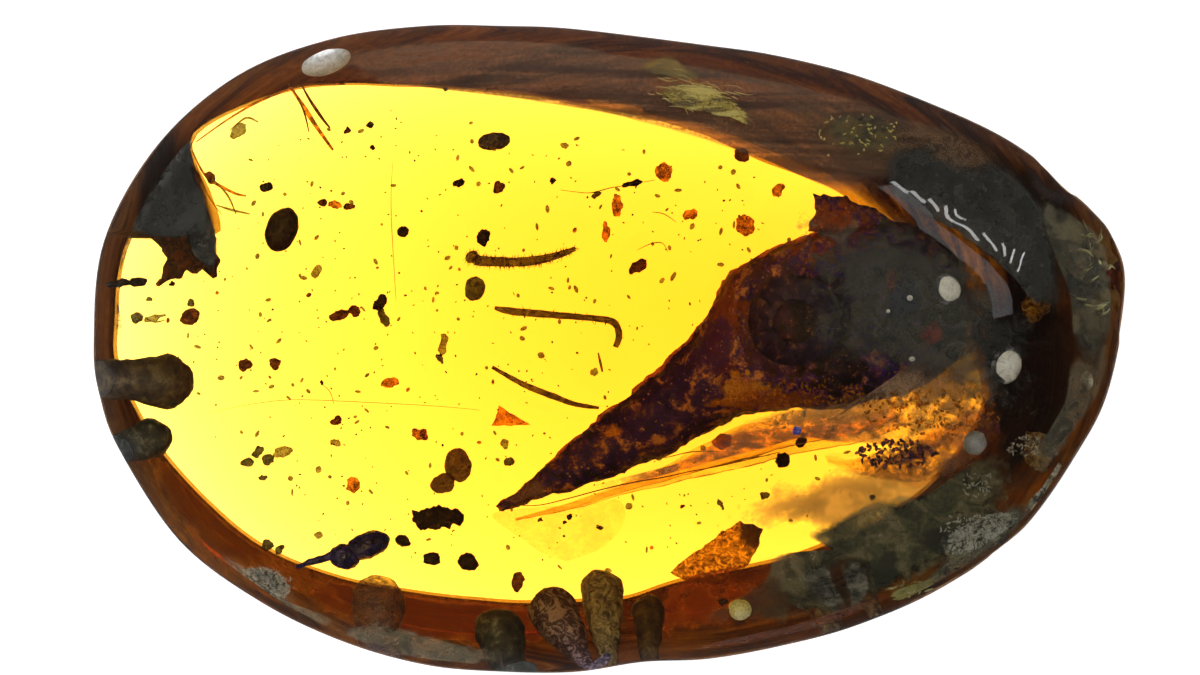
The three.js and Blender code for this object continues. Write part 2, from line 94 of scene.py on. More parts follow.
class Recipe:
    """A material's nodes, written in short steps. Sizes are in millimetres."""

    def __init__(self, name: str, attribute: str = "") -> None:
        """Start a material.

        Args:
            name: the material's name.
            attribute: a vertex attribute that holds the pattern's coordinates, in metres;
                without one the pattern lies in the piece's own space.
        """
        self.material = bpy.data.materials.new(name)
        self.material.use_nodes = True
        tree = self.material.node_tree
        self.nodes, self.links = tree.nodes, tree.links
        self.shader = self.nodes["Principled BSDF"]
        self.output = self.nodes["Material Output"]
        self.place = self.add("ShaderNodeTexCoord").outputs["Object"]
        self.grid = self.place
        if attribute:
            self.grid = self.add("ShaderNodeAttribute", attribute_name=attribute).outputs["Vector"]

    def add(self, kind: str, inputs: dict | None = None, **settings: object) -> bpy.types.Node:
        """Add a node.

        Args:
            kind: Blender's name for it.
            inputs: values or links for its inputs, by name or number.
            settings: its own settings.

        Returns:
            The node.
        """
        node = self.nodes.new(kind)
        for key, value in settings.items():
            setattr(node, key, value)
        for key, value in (inputs or {}).items():
            self.feed(node.inputs[key], value)
        return node

    def feed(self, socket: Socket, value: object) -> None:
        """Link a socket into an input, or set the input's own value.

        Args:
            socket: the input.
            value: the socket or the value that it takes.
        """
        if isinstance(value, bpy.types.NodeSocket):
            self.links.new(value, socket)
        else:
            socket.default_value = value

    def maths(self, operation: str, first: object, second: object = 0.0) -> Socket:
        """One arithmetic step on two numbers, kept between 0 and 1."""
        return self.add("ShaderNodeMath", {0: first, 1: second}, operation=operation,
                        use_clamp=True).outputs[0]

    def cloud(self, size: float, detail: float = 5.0, rough: float = 0.6, warp: float = 0.0,
              stretch: Triple = (1, 1, 1)) -> Socket:
        """Cloudy noise from 0 to 1.

        Args:
            size: how far apart its blotches are.
            detail: how many finer layers it holds.
            rough: how strong those layers are.
            warp: how far it is stirred.
            stretch: how much longer the blotches are along each axis.

        Returns:
            The noise's socket.
        """
        narrow = tuple(1 / s for s in stretch)
        grid = self.add("ShaderNodeVectorMath", {0: self.grid, 1: narrow}, operation="MULTIPLY")
        return self.add("ShaderNodeTexNoise", {
            "Vector": grid.outputs[0], "Scale": 1 / (size * MM), "Detail": detail,
            "Roughness": rough, "Distortion": warp}).outputs[0]

    def cells(self, size: float, feature: str = "F1") -> Socket:
        """Distance to the nearest of scattered points, in cell sizes."""
        return self.add("ShaderNodeTexVoronoi", {"Vector": self.grid, "Scale": 1 / (size * MM)},
                        feature=feature).outputs["Distance"]

    def levels(self, value: object, low: float, high: float, start: float = 0.0,
               end: float = 1.0) -> Socket:
        """Ease a number from `start` at `low` to `end` at `high`."""
        return self.add("ShaderNodeMapRange", {
            "Value": value, "From Min": low, "From Max": high, "To Min": start, "To Max": end,
        }, interpolation_type="SMOOTHSTEP").outputs[0]

    def ramp(self, value: Socket, tones: Tones) -> Socket:
        """Colours along a number."""
        node = self.add("ShaderNodeValToRGB", {0: value})
        set_stops(node, tones)
        return node.outputs[0]

    def mix(self, share: object, first: object, second: object, blend: str = "MIX") -> Socket:
        """Blend two colours.

        Args:
            share: how much of the second, from 0 to 1.
            first: a colour or a socket.
            second: a colour or a socket.
            blend: Blender's name for the way of blending.

        Returns:
            The blend's socket.
        """
        node = self.add("ShaderNodeMix", data_type="RGBA", blend_type=blend)
        for index, value in ((0, share), (6, first), (7, second)):
            if not isinstance(value, bpy.types.NodeSocket) and index > 0:
                value = (*value, 1)
            self.feed(node.inputs[index], value)
        return node.outputs[2]

    def swap(self, share: object, first: object, second: object) -> Socket:
        """Blend two numbers.

        Args:
            share: how much of the second, from 0 to 1.
            first: a number or a socket.
            second: a number or a socket.

        Returns:
            The blend's socket.
        """
        node = self.add("ShaderNodeMix", data_type="FLOAT")
        for index, value in ((0, share), (2, first), (3, second)):
            self.feed(node.inputs[index], value)
        return node.outputs[0]

    def near(self, centre: Triple, reach: Triple, ragged: float, size: float) -> Socket:
        """1 around a point, fading to 0 at its reach.

        Args:
            centre: the middle of the area.
            reach: its half sizes along each axis.
            ragged: how uneven its edge is.
            size: how coarse the unevenness is.

        Returns:
            The mask's socket.
        """
        apart = self.add("ShaderNodeVectorMath", {
            0: self.place, 1: tuple(c * MM for c in centre)}, operation="SUBTRACT")
        shares = self.add("ShaderNodeVectorMath", {
            0: apart.outputs[0], 1: tuple(1 / (r * MM) for r in reach)}, operation="MULTIPLY")
        far = self.add("ShaderNodeVectorMath", {0: shares.outputs[0]}, operation="LENGTH")
        stir = self.add("ShaderNodeMath", {0: self.cloud(size, 3), 1: 0.5},
                        operation="SUBTRACT").outputs[0]
        edge = self.add("ShaderNodeMath", {0: stir, 1: 2 * ragged, 2: far.outputs["Value"]},
                        operation="MULTIPLY_ADD").outputs[0]
        return self.levels(edge, 1.0, 0.55)

    def relief(self, height: Socket, depth: float) -> None:
        """Raise the surface by up to `depth` where `height` is 1."""
        bump = self.add("ShaderNodeBump", {"Height": height, "Distance": depth * MM})
        self.feed(self.shader.inputs["Normal"], bump.outputs[0])

    def let_through(self, share: object, tint: object) -> None:
        """Let part of the light pass straight through.

        Args:
            share: how much of it passes, from 0 to 1.
            tint: the colour that it takes on.
        """
        clear = self.add("ShaderNodeBsdfTransparent", {"Color": tint})
        both = self.add("ShaderNodeMixShader", {
            0: share, 1: self.shader.outputs[0], 2: clear.outputs[0]})
        self.links.new(both.outputs[0], self.output.inputs["Surface"])


@dataclass(frozen=True)
class Patch:
    """A soft-edged area of its own colour: its middle and half sizes."""

    centre: Triple
    reach: Triple
    colour: Triple
    strength: float = 1.0
    ragged: float = 0.6
    clear: float | None = None


@dataclass(frozen=True)
class Finish:
    """A mottled natural surface, with patches, grains and relief."""

    name: str
    tones: Tones
    size: float = 0.6
    stretch: Triple = (1, 1, 1)
    warp: float = 0.4
    rough: Pair = (0.4, 0.75)
    relief: float = 0.03
    patches: tuple[Patch, ...] = ()
    grain: Triple | None = None
    grain_size: float = 0.12
    grain_share: float = 0.12
    clear: float = 0.0
    clear_spread: float = 0.35
    tint: Triple = (1, 1, 1)
    attribute: str = ""
    shine: float = 0.5
    fade: float = 0.0
    fade_clear: float = 1.0
    outside: Triple | None = None    # colour filter where the attribute "outer" is 1

    @property
    def clear_patches(self) -> bool:
        """Whether any patch has a clearness of its own."""
        return any(p.clear is not None for p in self.patches)

    def patched(self, r: Recipe, value: Socket, fine: Socket) -> tuple[Socket, object]:
        """The mottling with its patches laid over it.

        Args:
            r: the material in the making.
            value: the cloud that the mottling follows.
            fine: the finer cloud that shades each patch.

        Returns:
            The colour and the clearness.
        """
        colour = r.ramp(value, self.tones)
        clear: object = self.clear
        if self.clear or self.clear_patches:
            clear = r.levels(value, 0.35, 0.65, max(0, self.clear - self.clear_spread),
                             min(1, self.clear + self.clear_spread) if self.clear else 0)
        for patch in self.patches:
            mask = r.near(patch.centre, patch.reach, patch.ragged, self.size)
            mask = r.maths("MULTIPLY", mask, patch.strength)
            shade = r.mix(r.levels(fine, 0.3, 0.7), tuple(0.55 * c for c in patch.colour),
                          tuple(min(1, 1.3 * c) for c in patch.colour))
            colour = r.mix(mask, colour, shade)
            if patch.clear is not None:
                clear = r.swap(mask, clear, patch.clear)
        return colour, clear

    def faded(self, r: Recipe, value: Socket, clear: object) -> tuple[object, object]:
        """The clearness and the tint, both fading where the attribute "edge" nears 0.

        Args:
            r: the material in the making.
            value: the cloud that makes the fading uneven.
            clear: the clearness away from the edge.

        Returns:
            The clearness and the tint.
        """
        tint: object = (*self.tint, 1)
        if self.fade:
            edge = r.add("ShaderNodeAttribute", attribute_name="edge").outputs["Fac"]
            stir = r.add("ShaderNodeMath", {0: value, 1: 2.5 * self.fade, 2: edge},
                         operation="MULTIPLY_ADD").outputs[0]
            share = r.levels(stir, 1.9 * self.fade, 2.9 * self.fade)
            clear = r.swap(share, self.fade_clear, clear)
            if self.fade_clear > 0.9:
                tint = r.mix(share, (1, 1, 1), self.tint)
        return clear, tint

    def material(self) -> bpy.types.Material:
        """Build the node tree."""
        r = Recipe(self.name, self.attribute)
        layers = 5 if self.relief else 3
        cloud = r.cloud(self.size, layers, 0.62, self.warp, self.stretch)
        fine = r.cloud(self.size / 6, layers - 2, 0.6)
        both = r.add("ShaderNodeMath", {0: fine, 1: 0.3, 2: -0.15}, operation="MULTIPLY_ADD")
        value = r.add("ShaderNodeMath", {0: cloud, 1: both.outputs[0]}, operation="ADD").outputs[0]
        colour, clear = self.patched(r, value, fine)
        clear, tint = self.faded(r, value, clear)
        if self.grain:
            spot = r.levels(r.cells(self.grain_size), 0.32, 0.12)
            rare = r.levels(r.cloud(self.size / 2, 2), 0.5 + 0.2 * (1 - self.grain_share), 0.75)
            colour = r.mix(r.maths("MULTIPLY", spot, rare), colour, self.grain)
        if self.outside:
            outer = r.add("ShaderNodeAttribute", attribute_name="outer").outputs["Fac"]
            colour = r.mix(outer, colour, self.outside, "MULTIPLY")
        r.feed(r.shader.inputs["Base Color"], colour)
        r.feed(r.shader.inputs["Roughness"], r.levels(fine, 0.3, 0.7, *self.rough))
        r.feed(r.shader.inputs["Specular IOR Level"], self.shine)
        if self.relief:
            r.relief(value, self.relief)
        if self.fade or self.clear or self.clear_patches:
            r.let_through(clear, tint)
        return r.material


@dataclass(frozen=True)
class AmberFinish:
    """Clear yellow resin: what share of red, green and blue a full depth lets through."""

    name: str = "amber"
    passed: Triple = (0.66, 0.27, 0.0085)
    depth: float = 8.5
    bend: float = 1.54
    ripple: float = 0.004

    def material(self) -> bpy.types.Material:
        """Glass with absorption inside, and the faint ripple of hand polish."""
        r = Recipe(self.name)
        shader = r.shader
        shader.inputs["Base Color"].default_value = (1, 1, 1, 1)
        shader.inputs["Transmission Weight"].default_value = 1
        shader.inputs["IOR"].default_value = self.bend
        shader.inputs["Roughness"].default_value = 0
        r.relief(r.cloud(2.2, 2, 0.4), self.ripple)
        loss = [-math.log(p) / (self.depth * MM) for p in self.passed]
        most = max(loss)
        soak = r.add("ShaderNodeVolumeAbsorption", {
            "Color": (*(1 - k / most for k in loss), 1), "Density": most})
        r.links.new(soak.outputs[0], r.output.inputs["Volume"])
        return r.material


_materials: dict[object, bpy.types.Material] = {}


def material_of(finish: Finish | AmberFinish) -> bpy.types.Material:
    """The one material of a finish, made when it is first asked for."""
    if finish not in _materials:
        _materials[finish] = finish.material()
    return _materials[finish]


# ---- mesh helpers ---------------------------------------------------------------------------


def smooth_path(points: Sequence[Sequence[float]], steps: int, closed: bool = False
                ) -> list[Vector]:
    """Points on a smooth curve through the given ones.

    Args:
        points: the corners to pass through, of any dimension.
        steps: samples from one corner to the next.
        closed: whether the curve returns to its start.

    Returns:
        The samples in order.
    """
    knots = [Vector(p) for p in points]
    count = len(knots)
    path = []
    for i in range(count if closed else count - 1):
        around = range(i - 1, i + 3)
        a, b, c, d = (knots[j % count if closed else min(max(j, 0), count - 1)] for j in around)
        for k in range(steps):
            t = k / steps
            path.append(0.5 * (2 * b + (c - a) * t + (2 * a - 5 * b + 4 * c - d) * t * t
                               + (3 * b - a - 3 * c + d) * t * t * t))
    if not closed:
        path.append(knots[-1])
    return path


def between(values: Sequence[float], share: float) -> float:
    """The value at a share of the way through a list, eased between its entries."""
    place = min(max(share, 0), 1) * (len(values) - 1)
    before = min(int(place), len(values) - 2)
    return values[before] + (values[before + 1] - values[before]) * (place - before)


class Skin:
    """A closed surface in millimetres, before it becomes a piece."""

    def __init__(self, points: Sequence[Vector] = (), faces: Sequence[tuple] = ()) -> None:
        """Start from points and faces."""
        self.points, self.faces = list(points), list(faces)

    def join(self, *others: "Skin") -> "Skin":
        """Add other surfaces to this one."""
        for other in others:
            base = len(self.points)
            self.points += other.points
            self.faces += [tuple(base + i for i in face) for face in other.faces]
        return self

    def mesh(self, name: str) -> bpy.types.Mesh:
        """A mesh with its normals outwards.

        Args:
            name: the mesh's name.

        Returns:
            The mesh, in millimetres.
        """
        mesh = bpy.data.meshes.new(name)
        mesh.from_pydata([tuple(p) for p in self.points], [], self.faces)
        work = bmesh.new()
        work.from_mesh(mesh)
        bmesh.ops.recalc_face_normals(work, faces=work.faces)
        work.to_mesh(mesh)
        work.free()
        return mesh


def lofted(rings: Sequence[Sequence[Vector]], loop: bool = False) -> Skin:
    """A skin over rings of points.

    Args:
        rings: rings of equal length, in order.
        loop: joins the last ring to the first, in place of a cap at each end.

    Returns:
        The closed skin; its last two points are the hubs of the caps.
    """
    count = len(rings[0])
    points = [p for ring in rings for p in ring]
    faces = []
    for k in range(len(rings) if loop else len(rings) - 1):
        here, there = k * count, (k + 1) % len(rings) * count
        faces += [(here + i, here + (i + 1) % count, there + (i + 1) % count, there + i)
                  for i in range(count)]
    if not loop:
        for end, order in ((0, -1), (len(rings) - 1, 1)):
            hub = len(points)
            points.append(sum(rings[end], Vector((0, 0, 0))) / count)
            faces += [(hub, *(end * count + j for j in (i, (i + 1) % count)[::order]))
                      for i in range(count)]
    return Skin(points, faces)


def tube(path: Sequence[Vector], radii: Sequence[float], sides: int = 10) -> Skin:
    """A round bar along a path.

    Args:
        path: its middle line.
        radii: its radii from start to end, evenly spaced.
        sides: points round it.

    Returns:
        The closed bar.
    """
    rings = []
    for k, centre in enumerate(path):
        ahead = path[min(k + 1, len(path) - 1)] - path[max(k - 1, 0)]
        across = ahead.cross(Vector((0, 0, 1)))
        across = across.normalized() if across.length > 1e-6 else Vector((1, 0, 0))
        over = across.cross(ahead).normalized()
        size = between(radii, k / (len(path) - 1))
        rings.append([centre + size * (across * math.cos(TURN * i / sides)
                                       + over * math.sin(TURN * i / sides))
                      for i in range(sides)])
    return lofted(rings)


def ball(at: Sequence[float], radii: Sequence[float], turn: float = 0.0, detail: int = 4) -> Skin:
    """An egg.

    Args:
        at: its middle.
        radii: its half sizes.
        turn: its turn about Z in degrees.
        detail: how finely it is divided.

    Returns:
        The closed egg.
    """
    work = bmesh.new()
    bmesh.ops.create_icosphere(work, subdivisions=detail, radius=1)
    place = (Matrix.Translation(Vector(at)) @ Matrix.Rotation(math.radians(turn), 4, "Z")
             @ Matrix.Diagonal((*radii, 1)))
    skin = Skin([place @ v.co for v in work.verts],
                [tuple(v.index for v in f.verts) for f in work.faces])
    work.free()
    return skin


def slab(outline: Sequence[Pair], z: float, thickness: float, crinkle: float = 0.0,
         ragged: float = 0.0, steps: int = 8, seed: float = 0.0, round_corners: bool = True
         ) -> Skin:
    """A flat scrap with a soft rim.

    Args:
        outline: its corners seen from above.
        z: its middle height.
        thickness: its thickness in the middle.
        crinkle: how far it waves up and down.
        ragged: how far its edge wanders.
        steps: samples along each side.
        seed: where the waves start.
        round_corners: whether its corners are rounded.

    Returns:
        The closed scrap.
    """
    corners = [Vector((x, y, 0)) for x, y in outline]
    if round_corners:
        edge = smooth_path(corners, steps, closed=True)
    else:
        edge = [a.lerp(b, k / steps) for a, b in zip(corners, corners[1:] + corners[:1])
                for k in range(steps)]
    middle = sum(edge, Vector((0, 0, 0))) / len(edge)
    edge = [p + (p - middle).normalized() * ragged
            * noise.noise(p * 4 + Vector((seed, 0, 0))) for p in edge]
    shares = (0.12, 0.3, 0.5, 0.68, 0.84, 0.95, 1.0)
    rings = []
    for side, order in ((-1, shares), (1, shares[-2::-1])):
        for share in order:
            ring = []
            for p in edge:
                q = middle.lerp(p, share)
                wave = crinkle * noise.noise(q * 1.6 + Vector((0, seed, 3)))
                bulge = thickness / 2 * math.sqrt(max(0.0, 1 - share ** 8))
                ring.append(Vector((q.x, q.y, z + wave + side * bulge)))
            rings.append(ring)
    return lofted(rings)


def mark(mesh: bpy.types.Mesh, name: str, values: Iterable[float]) -> None:
    """Give every point a number that a finish reads, such as how far it lies from an edge."""
    mesh.attributes.new(name, "FLOAT", "POINT").data.foreach_set("value", list(values))


def merge(mesh: bpy.types.Mesh, *others: bpy.types.Mesh) -> None:
    """Add other meshes to one, with their marks.

    Args:
        mesh: the mesh that grows.
        others: the meshes that are added.
    """
    work = bmesh.new()
    for part in (mesh, *others):
        work.from_mesh(part)
    work.to_mesh(mesh)
    work.free()


def roughen(mesh: bpy.types.Mesh, size: float, depth: float, seed: float = 0.0,
            octaves: int = 4) -> None:
    """Push a mesh's points in and out along their normals by layered noise.

    Args:
        mesh: the mesh in millimetres.
        size: how far apart its bumps are.
        depth: how far they stand out.
        seed: where the noise starts.
        octaves: how many finer layers it holds.
    """
    start = Vector((seed, 2 * seed, -seed))
    moves = [v.normal * (depth * noise.fractal(v.co / size + start, 0.8, 2.1, octaves))
             for v in mesh.vertices]
    for vertex, move in zip(mesh.vertices, moves):
        vertex.co += move


def publish(name: str, mesh: bpy.types.Mesh, finish: Finish | AmberFinish,
            replaces: Sequence[str] = (), smooth: bool = True) -> bpy.types.Object:
    """Turn a mesh in millimetres into a finished piece of the object.

    Args:
        name: the piece's name.
        mesh: its mesh, in place.
        finish: what it is made of.
        replaces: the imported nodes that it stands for.
        smooth: whether its shading is smooth.

    Returns:
        The piece, riding on the body.
    """
    mesh.transform(Matrix.Scale(MM, 4))
    mesh.polygons.foreach_set("use_smooth", [smooth] * len(mesh.polygons))
    mesh.materials.clear()
    mesh.materials.append(material_of(finish))
    mesh.update()
    piece = bpy.data.objects.new(name, mesh)
    bpy.context.scene.collection.objects.link(piece)
    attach(piece, BODY)
    if replaces:
        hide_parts(*replaces)
    log.info("%s: %d faces", name, len(mesh.polygons))
    return piece


# ---- the stone ------------------------------------------------------------------------------


@dataclass(frozen=True)
class Outline:
    """A closed outline seen from above, read as distances from a point inside it."""

    apex: Pair
    corners: tuple[Pair, ...]

    @cached_property
    def _polar(self) -> list[Pair]:
        """Angles and distances of fine samples, by angle."""
        return sorted(((math.atan2(p.y - self.apex[1], p.x - self.apex[0]) % TURN,
                        math.hypot(p.x - self.apex[0], p.y - self.apex[1]))
                       for p in smooth_path(self.corners, 40, closed=True)))

    def distance(self, angle: float) -> float:
        """How far the outline lies from the apex.

        Args:
            angle: the direction from the apex.

        Returns:
            The distance.
        """
        angle %= TURN
        after = bisect(self._polar, (angle, 0.0))
        a0, r0 = self._polar[after - 1]
        a1, r1 = self._polar[after % len(self._polar)]
        span = (a1 - a0) % TURN
        return r0 + (r1 - r0) * ((angle - a0) % TURN) / span if span > 1e-9 else r0


@dataclass(frozen=True)
class Stone:
    """The pebble: a flat polished face, an undercut flank and a dome."""

    apex: Pair = (3.0, 1.0)
    height: float = 8.5
    girdle_low: float = 3.2
    girdle_high: float = 5.8
    dome_spread: float = 1.6
    dome_edge: float = 1.3
    crease: float = math.radians(60)
    spokes: int = 360
    flank_steps: int = 15
    face_rings: tuple[float, ...] = (0.25, 0.5, 0.75, 0.93)
    dome_rings: tuple[float, ...] = (
        0.998, 0.993, 0.985, 0.975, 0.96, 0.945, 0.93, 0.91, 0.89, 0.865, 0.84, 0.81, 0.78,
        0.75, 0.72, 0.68, 0.64, 0.6, 0.55, 0.5, 0.45, 0.4, 0.35, 0.3, 0.25, 0.2, 0.15, 0.1, 0.05)
    girdle: Outline = Outline((3.0, 1.0), (
        (15.5, 1.8), (15.2, 3.2), (14.4, 4.2), (13.6, 4.9), (12.9, 5.6), (11.7, 6.4),
        (10.0, 7.2), (7.4, 8.2), (5.0, 8.8), (3.0, 9.1), (-1.0, 9.6), (-3.2, 9.7), (-5.6, 9.7),
        (-8.4, 9.3), (-11.2, 8.2), (-13.6, 6.1), (-15.2, 3.2), (-15.5, 0.1), (-15.3, -1.5),
        (-14.7, -3.1), (-12.9, -5.8), (-10.5, -7.6), (-8.0, -8.8), (-5.5, -9.5), (-3.2, -9.7),
        (-1.0, -9.7), (1.0, -9.4), (3.0, -9.3), (5.2, -8.9), (7.4, -8.3), (9.9, -7.2),
        (12.3, -5.5), (14.1, -3.0), (15.0, -1.1)))
    window: Outline = Outline((3.0, 1.0), (
        (10.7, -1.2), (9.9, 0.7), (8.5, 2.3), (6.7, 3.7), (4.5, 4.5), (2.8, 5.2), (0.4, 5.8),
        (-3.7, 6.5), (-7.7, 6.9), (-9.9, 6.7), (-11.9, 5.7), (-11.4, 4.3), (-11.1, 3.5),
        (-11.2, 3.05), (-12.0, 3.1), (-13.0, 3.2), (-13.6, 3.15), (-13.95, 2.2), (-14.05, 0.9),
        (-14.0, -0.5), (-13.0, -2.4), (-11.4, -4.2), (-9.7, -5.4), (-7.5, -6.2), (-4.9, -6.6),
        (-2.7, -6.7), (-0.2, -6.6), (1.6, -6.2), (3.4, -5.8), (5.6, -5.3), (7.8, -4.4),
        (9.5, -3.2)))
    eye_point: Triple = (-0.27, 0.33, 600.0)   # where the camera stands
    frame_plane: float = 4.0                   # height at which the frame's pitch holds
    frame_middle: Pair = (609.0, 348.5)        # the frame column and row over the origin
    pitch: float = 31 / 1032                   # millimetres to one column
    rounds: int = 6                            # repeats that find where a ray meets the dome
    slope_step: float = 0.02                   # half the reach over which a slope is taken

    def girdle_height(self, angle: float) -> float:
        """Height of the widest outline: low at the thin end, high at the thick.

        Args:
            angle: the direction from the apex.

        Returns:
            The height.
        """
        wide = self.girdle.distance(angle)
        x = self.apex[0] + wide * math.cos(angle)
        y = self.apex[1] + wide * math.sin(angle)
        t = min(1.0, max(0.0, (0.9 * x - 0.4 * y + 13) / 28))
        return self.girdle_low + (self.girdle_high - self.girdle_low) * t * t * (3 - 2 * t)

    def polar(self, x: float, y: float) -> Pair:
        """Angle and distance of a point from the apex."""
        return (math.atan2(y - self.apex[1], x - self.apex[0]),
                math.hypot(x - self.apex[0], y - self.apex[1]))

    def top(self, x: float, y: float) -> float:
        """Height of the dome over a point, or of the girdle outside the stone.

        Args:
            x: the point's place to the right.
            y: its place to the back.

        Returns:
            The height.
        """
        angle, far = self.polar(x, y)
        low = self.girdle_height(angle)
        share = min(1.0, far / self.girdle.distance(angle))
        return low + (self.height - low) * (1 - share ** self.dome_spread) ** (1 / self.dome_edge)

    def reach(self, angle: float, z: float) -> float:
        """Distance of the stone's side from the apex's axis.

        Args:
            angle: the direction from the apex.
            z: the height.

        Returns:
            The distance.
        """
        wide, flat, low = (self.girdle.distance(angle), self.window.distance(angle),
                           self.girdle_height(angle))
        if z >= low:
            rise = min(1.0, (z - low) / (self.height - low))
            return wide * (1 - rise ** self.dome_edge) ** (1 / self.dome_spread)
        tilt = math.acos(math.cos(self.crease) * (1 - max(z, 0) / low))
        steep = math.sin(self.crease)
        return flat + (wide - flat) * (math.sin(tilt) - steep) / (1 - steep)

    def tuck(self, point: Vector, margin: float = 0.04) -> Vector:
        """Pull a point inwards so that it lies under the stone's skin.

        Args:
            point: the point.
            margin: how far under the skin it has to lie.

        Returns:
            The point, moved towards the stone's middle where it has to be.
        """
        z = min(max(point.z, margin), self.height - margin)
        angle, far = self.polar(point.x, point.y)
        limit = max(0.0, self.reach(angle, z) - margin * 1.3)
        if far <= limit:
            return Vector((point.x, point.y, z))
        return Vector((self.apex[0] + limit * math.cos(angle),
                       self.apex[1] + limit * math.sin(angle), z))

    def behind(self, column: float, row: float, z: float, bend: float = 1.54,
               margin: float = 0.15) -> Vector:
        """Where a thing at a height must lie to be seen at a place in the picture frame.

        Args:
            column: the frame's column, 0 to 1200.
            row: the frame's row from the top, 0 to 675.
            z: the thing's height.
            bend: the resin's refractive index.
            margin: how far it stays under the stone's skin.

        Returns:
            The place.
        """
        eye = Vector(self.eye_point)
        aim = Vector(((column - self.frame_middle[0]) * self.pitch,
                      (self.frame_middle[1] - row) * self.pitch, self.frame_plane))
        ray = (aim - eye).normalized()
        high = self.height
        for _ in range(self.rounds):
            entry = eye + ray * ((high - eye.z) / ray.z)
            high = self.top(entry.x, entry.y)
        step = self.slope_step
        slope_x, slope_y = ((self.top(entry.x + dx, entry.y + dy)
                             - self.top(entry.x - dx, entry.y - dy)) / (2 * step)
                            for dx, dy in ((step, 0), (0, step)))
        normal = Vector((-slope_x, -slope_y, 1)).normalized()
        facing = -normal.dot(ray)
        inside = math.sqrt(max(0.0, 1 - (1 - facing * facing) / bend ** 2))
        ray = ray / bend + normal * (facing / bend - inside)
        return self.tuck(entry + ray * ((z - entry.z) / ray.z), margin)

    def below(self, column: float, row: float, depth: float, margin: float = 0.1) -> Vector:
        """The place at a depth under the dome that is seen at a place in the frame.

        Args:
            column: the frame's column.
            row: the frame's row.
            depth: how far under the dome.
            margin: how far it stays under the stone's skin at the side.

        Returns:
            The place.
        """
        place = self.behind(column, row, 4.0)
        for _ in range(4):
            place = self.behind(column, row, self.top(place.x, place.y) - depth, 1.54, margin)
        return place

    def level(self, place: Callable[[float], Pair]) -> list[Vector]:
        """One ring of the stone.

        Args:
            place: the distance and the height for an angle.

        Returns:
            The ring's points.
        """
        ring = []
        for i in range(self.spokes):
            angle = TURN * i / self.spokes
            far, z = place(angle)
            ring.append(Vector((self.apex[0] + far * math.cos(angle),
                                self.apex[1] + far * math.sin(angle), z)))
        return ring

    def flank_ring(self, share: float, inset: float = 0.0) -> list[Vector]:
        """A ring of the flank.

        Args:
            share: the way up, from the flat face (0) to the girdle (1).
            inset: how far it lies inside the stone's skin.

        Returns:
            The ring's points.
        """
        tilt = self.crease + (math.pi / 2 - self.crease) * share
        steep = math.sin(self.crease)
        out = (math.sin(tilt) - steep) / (1 - steep)
        up = (math.cos(self.crease) - math.cos(tilt)) / math.cos(self.crease)

        def place(angle: float) -> Pair:
            """Distance and height of the ring at an angle."""
            flat, wide = self.window.distance(angle), self.girdle.distance(angle)
            z = self.girdle_height(angle) * up
            return flat + (wide - flat) * out - inset, max(z, 0.8 * inset)
        return self.level(place)


@dataclass(frozen=True)
class Amber:
    """The clear resin itself, with its chips and clear bubbles."""

    stone: Stone
    finish: AmberFinish = AmberFinish()
    chips: tuple[tuple[Triple, float, float], ...] = (
        ((15.2, 1.9, 5.0), 1.9, 0.16), ((11.6, -6.0, 4.6), 1.5, 0.08),
        ((13.4, 5.1, 5.6), 0.8, 0.10))
    chip_size: float = 0.75
    bubbles: tuple[tuple[float, float, float, float], ...] = (
        (740, 610, 4.4, 0.36), (975, 443, 5.6, 0.3), (1087, 381, 5.8, 0.22),
        (868, 308, 6.4, 0.07), (910, 298, 6.6, 0.06))

    def chipped(self, point: Vector) -> Vector:
        """A skin point, sunk where the stone has broken in small shells.

        Args:
            point: the point on the unbroken stone.

        Returns:
            Its place on the broken one.
        """
        for centre, reach, depth in self.chips:
            away = (point - Vector(centre)).length / reach
            if away < 1:
                near, next_near = noise.voronoi(point / self.chip_size)[0][:2]
                dent = depth * (0.35 + min(1.0, near * 1.3)) * min(1.0, 3 * (1 - away))
                angle = self.stone.polar(point.x, point.y)[0]
                inward = Vector((-math.cos(angle), -math.sin(angle), -0.25))
                point = point + inward * dent * min(1.0, 4 * (next_near - near) + 0.5)
        return point

    def build(self) -> bpy.types.Object:
        """Make the clear piece that stands for both halves of the stone."""
        s = self.stone
        rings = [s.level(lambda a, k=share: (s.window.distance(a) * k, 0.0))
                 for share in s.face_rings]
        rings += [s.flank_ring(k / (s.flank_steps - 1)) for k in range(s.flank_steps)]

        def dome(share: float) -> list[Vector]:
            """A ring of the dome, at a share of the way out to the girdle."""
            rise = (1 - share ** s.dome_spread) ** (1 / s.dome_edge)

            def place(angle: float) -> Pair:
                """Distance and height of the ring at an angle."""
                low = s.girdle_height(angle)
                return s.girdle.distance(angle) * share, low + (s.height - low) * rise
            return s.level(place)
        rings += [dome(share) for share in s.dome_rings]
        rings = [[self.chipped(p) for p in ring] for ring in rings]
        skin = lofted(rings)
        skin.points[-2] = Vector((*s.apex, 0))
        skin.points[-1] = Vector((*s.apex, s.height))
        mesh = skin.mesh("amber_stone")
        hollow = Skin()
        for column, row, z, radius in self.bubbles:
            at = s.behind(column, row, z)
            hollow.join(ball(at, (radius, radius * 0.95, radius * 0.8), detail=4))
        voids = hollow.mesh("bubbles")
        voids.flip_normals()
        merge(mesh, voids)
        piece = publish("amber_stone", mesh, self.finish,
                        ("amber_lower", "amber_upper"))
        mesh.set_sharp_from_angle(angle=math.radians(28))
        return piece


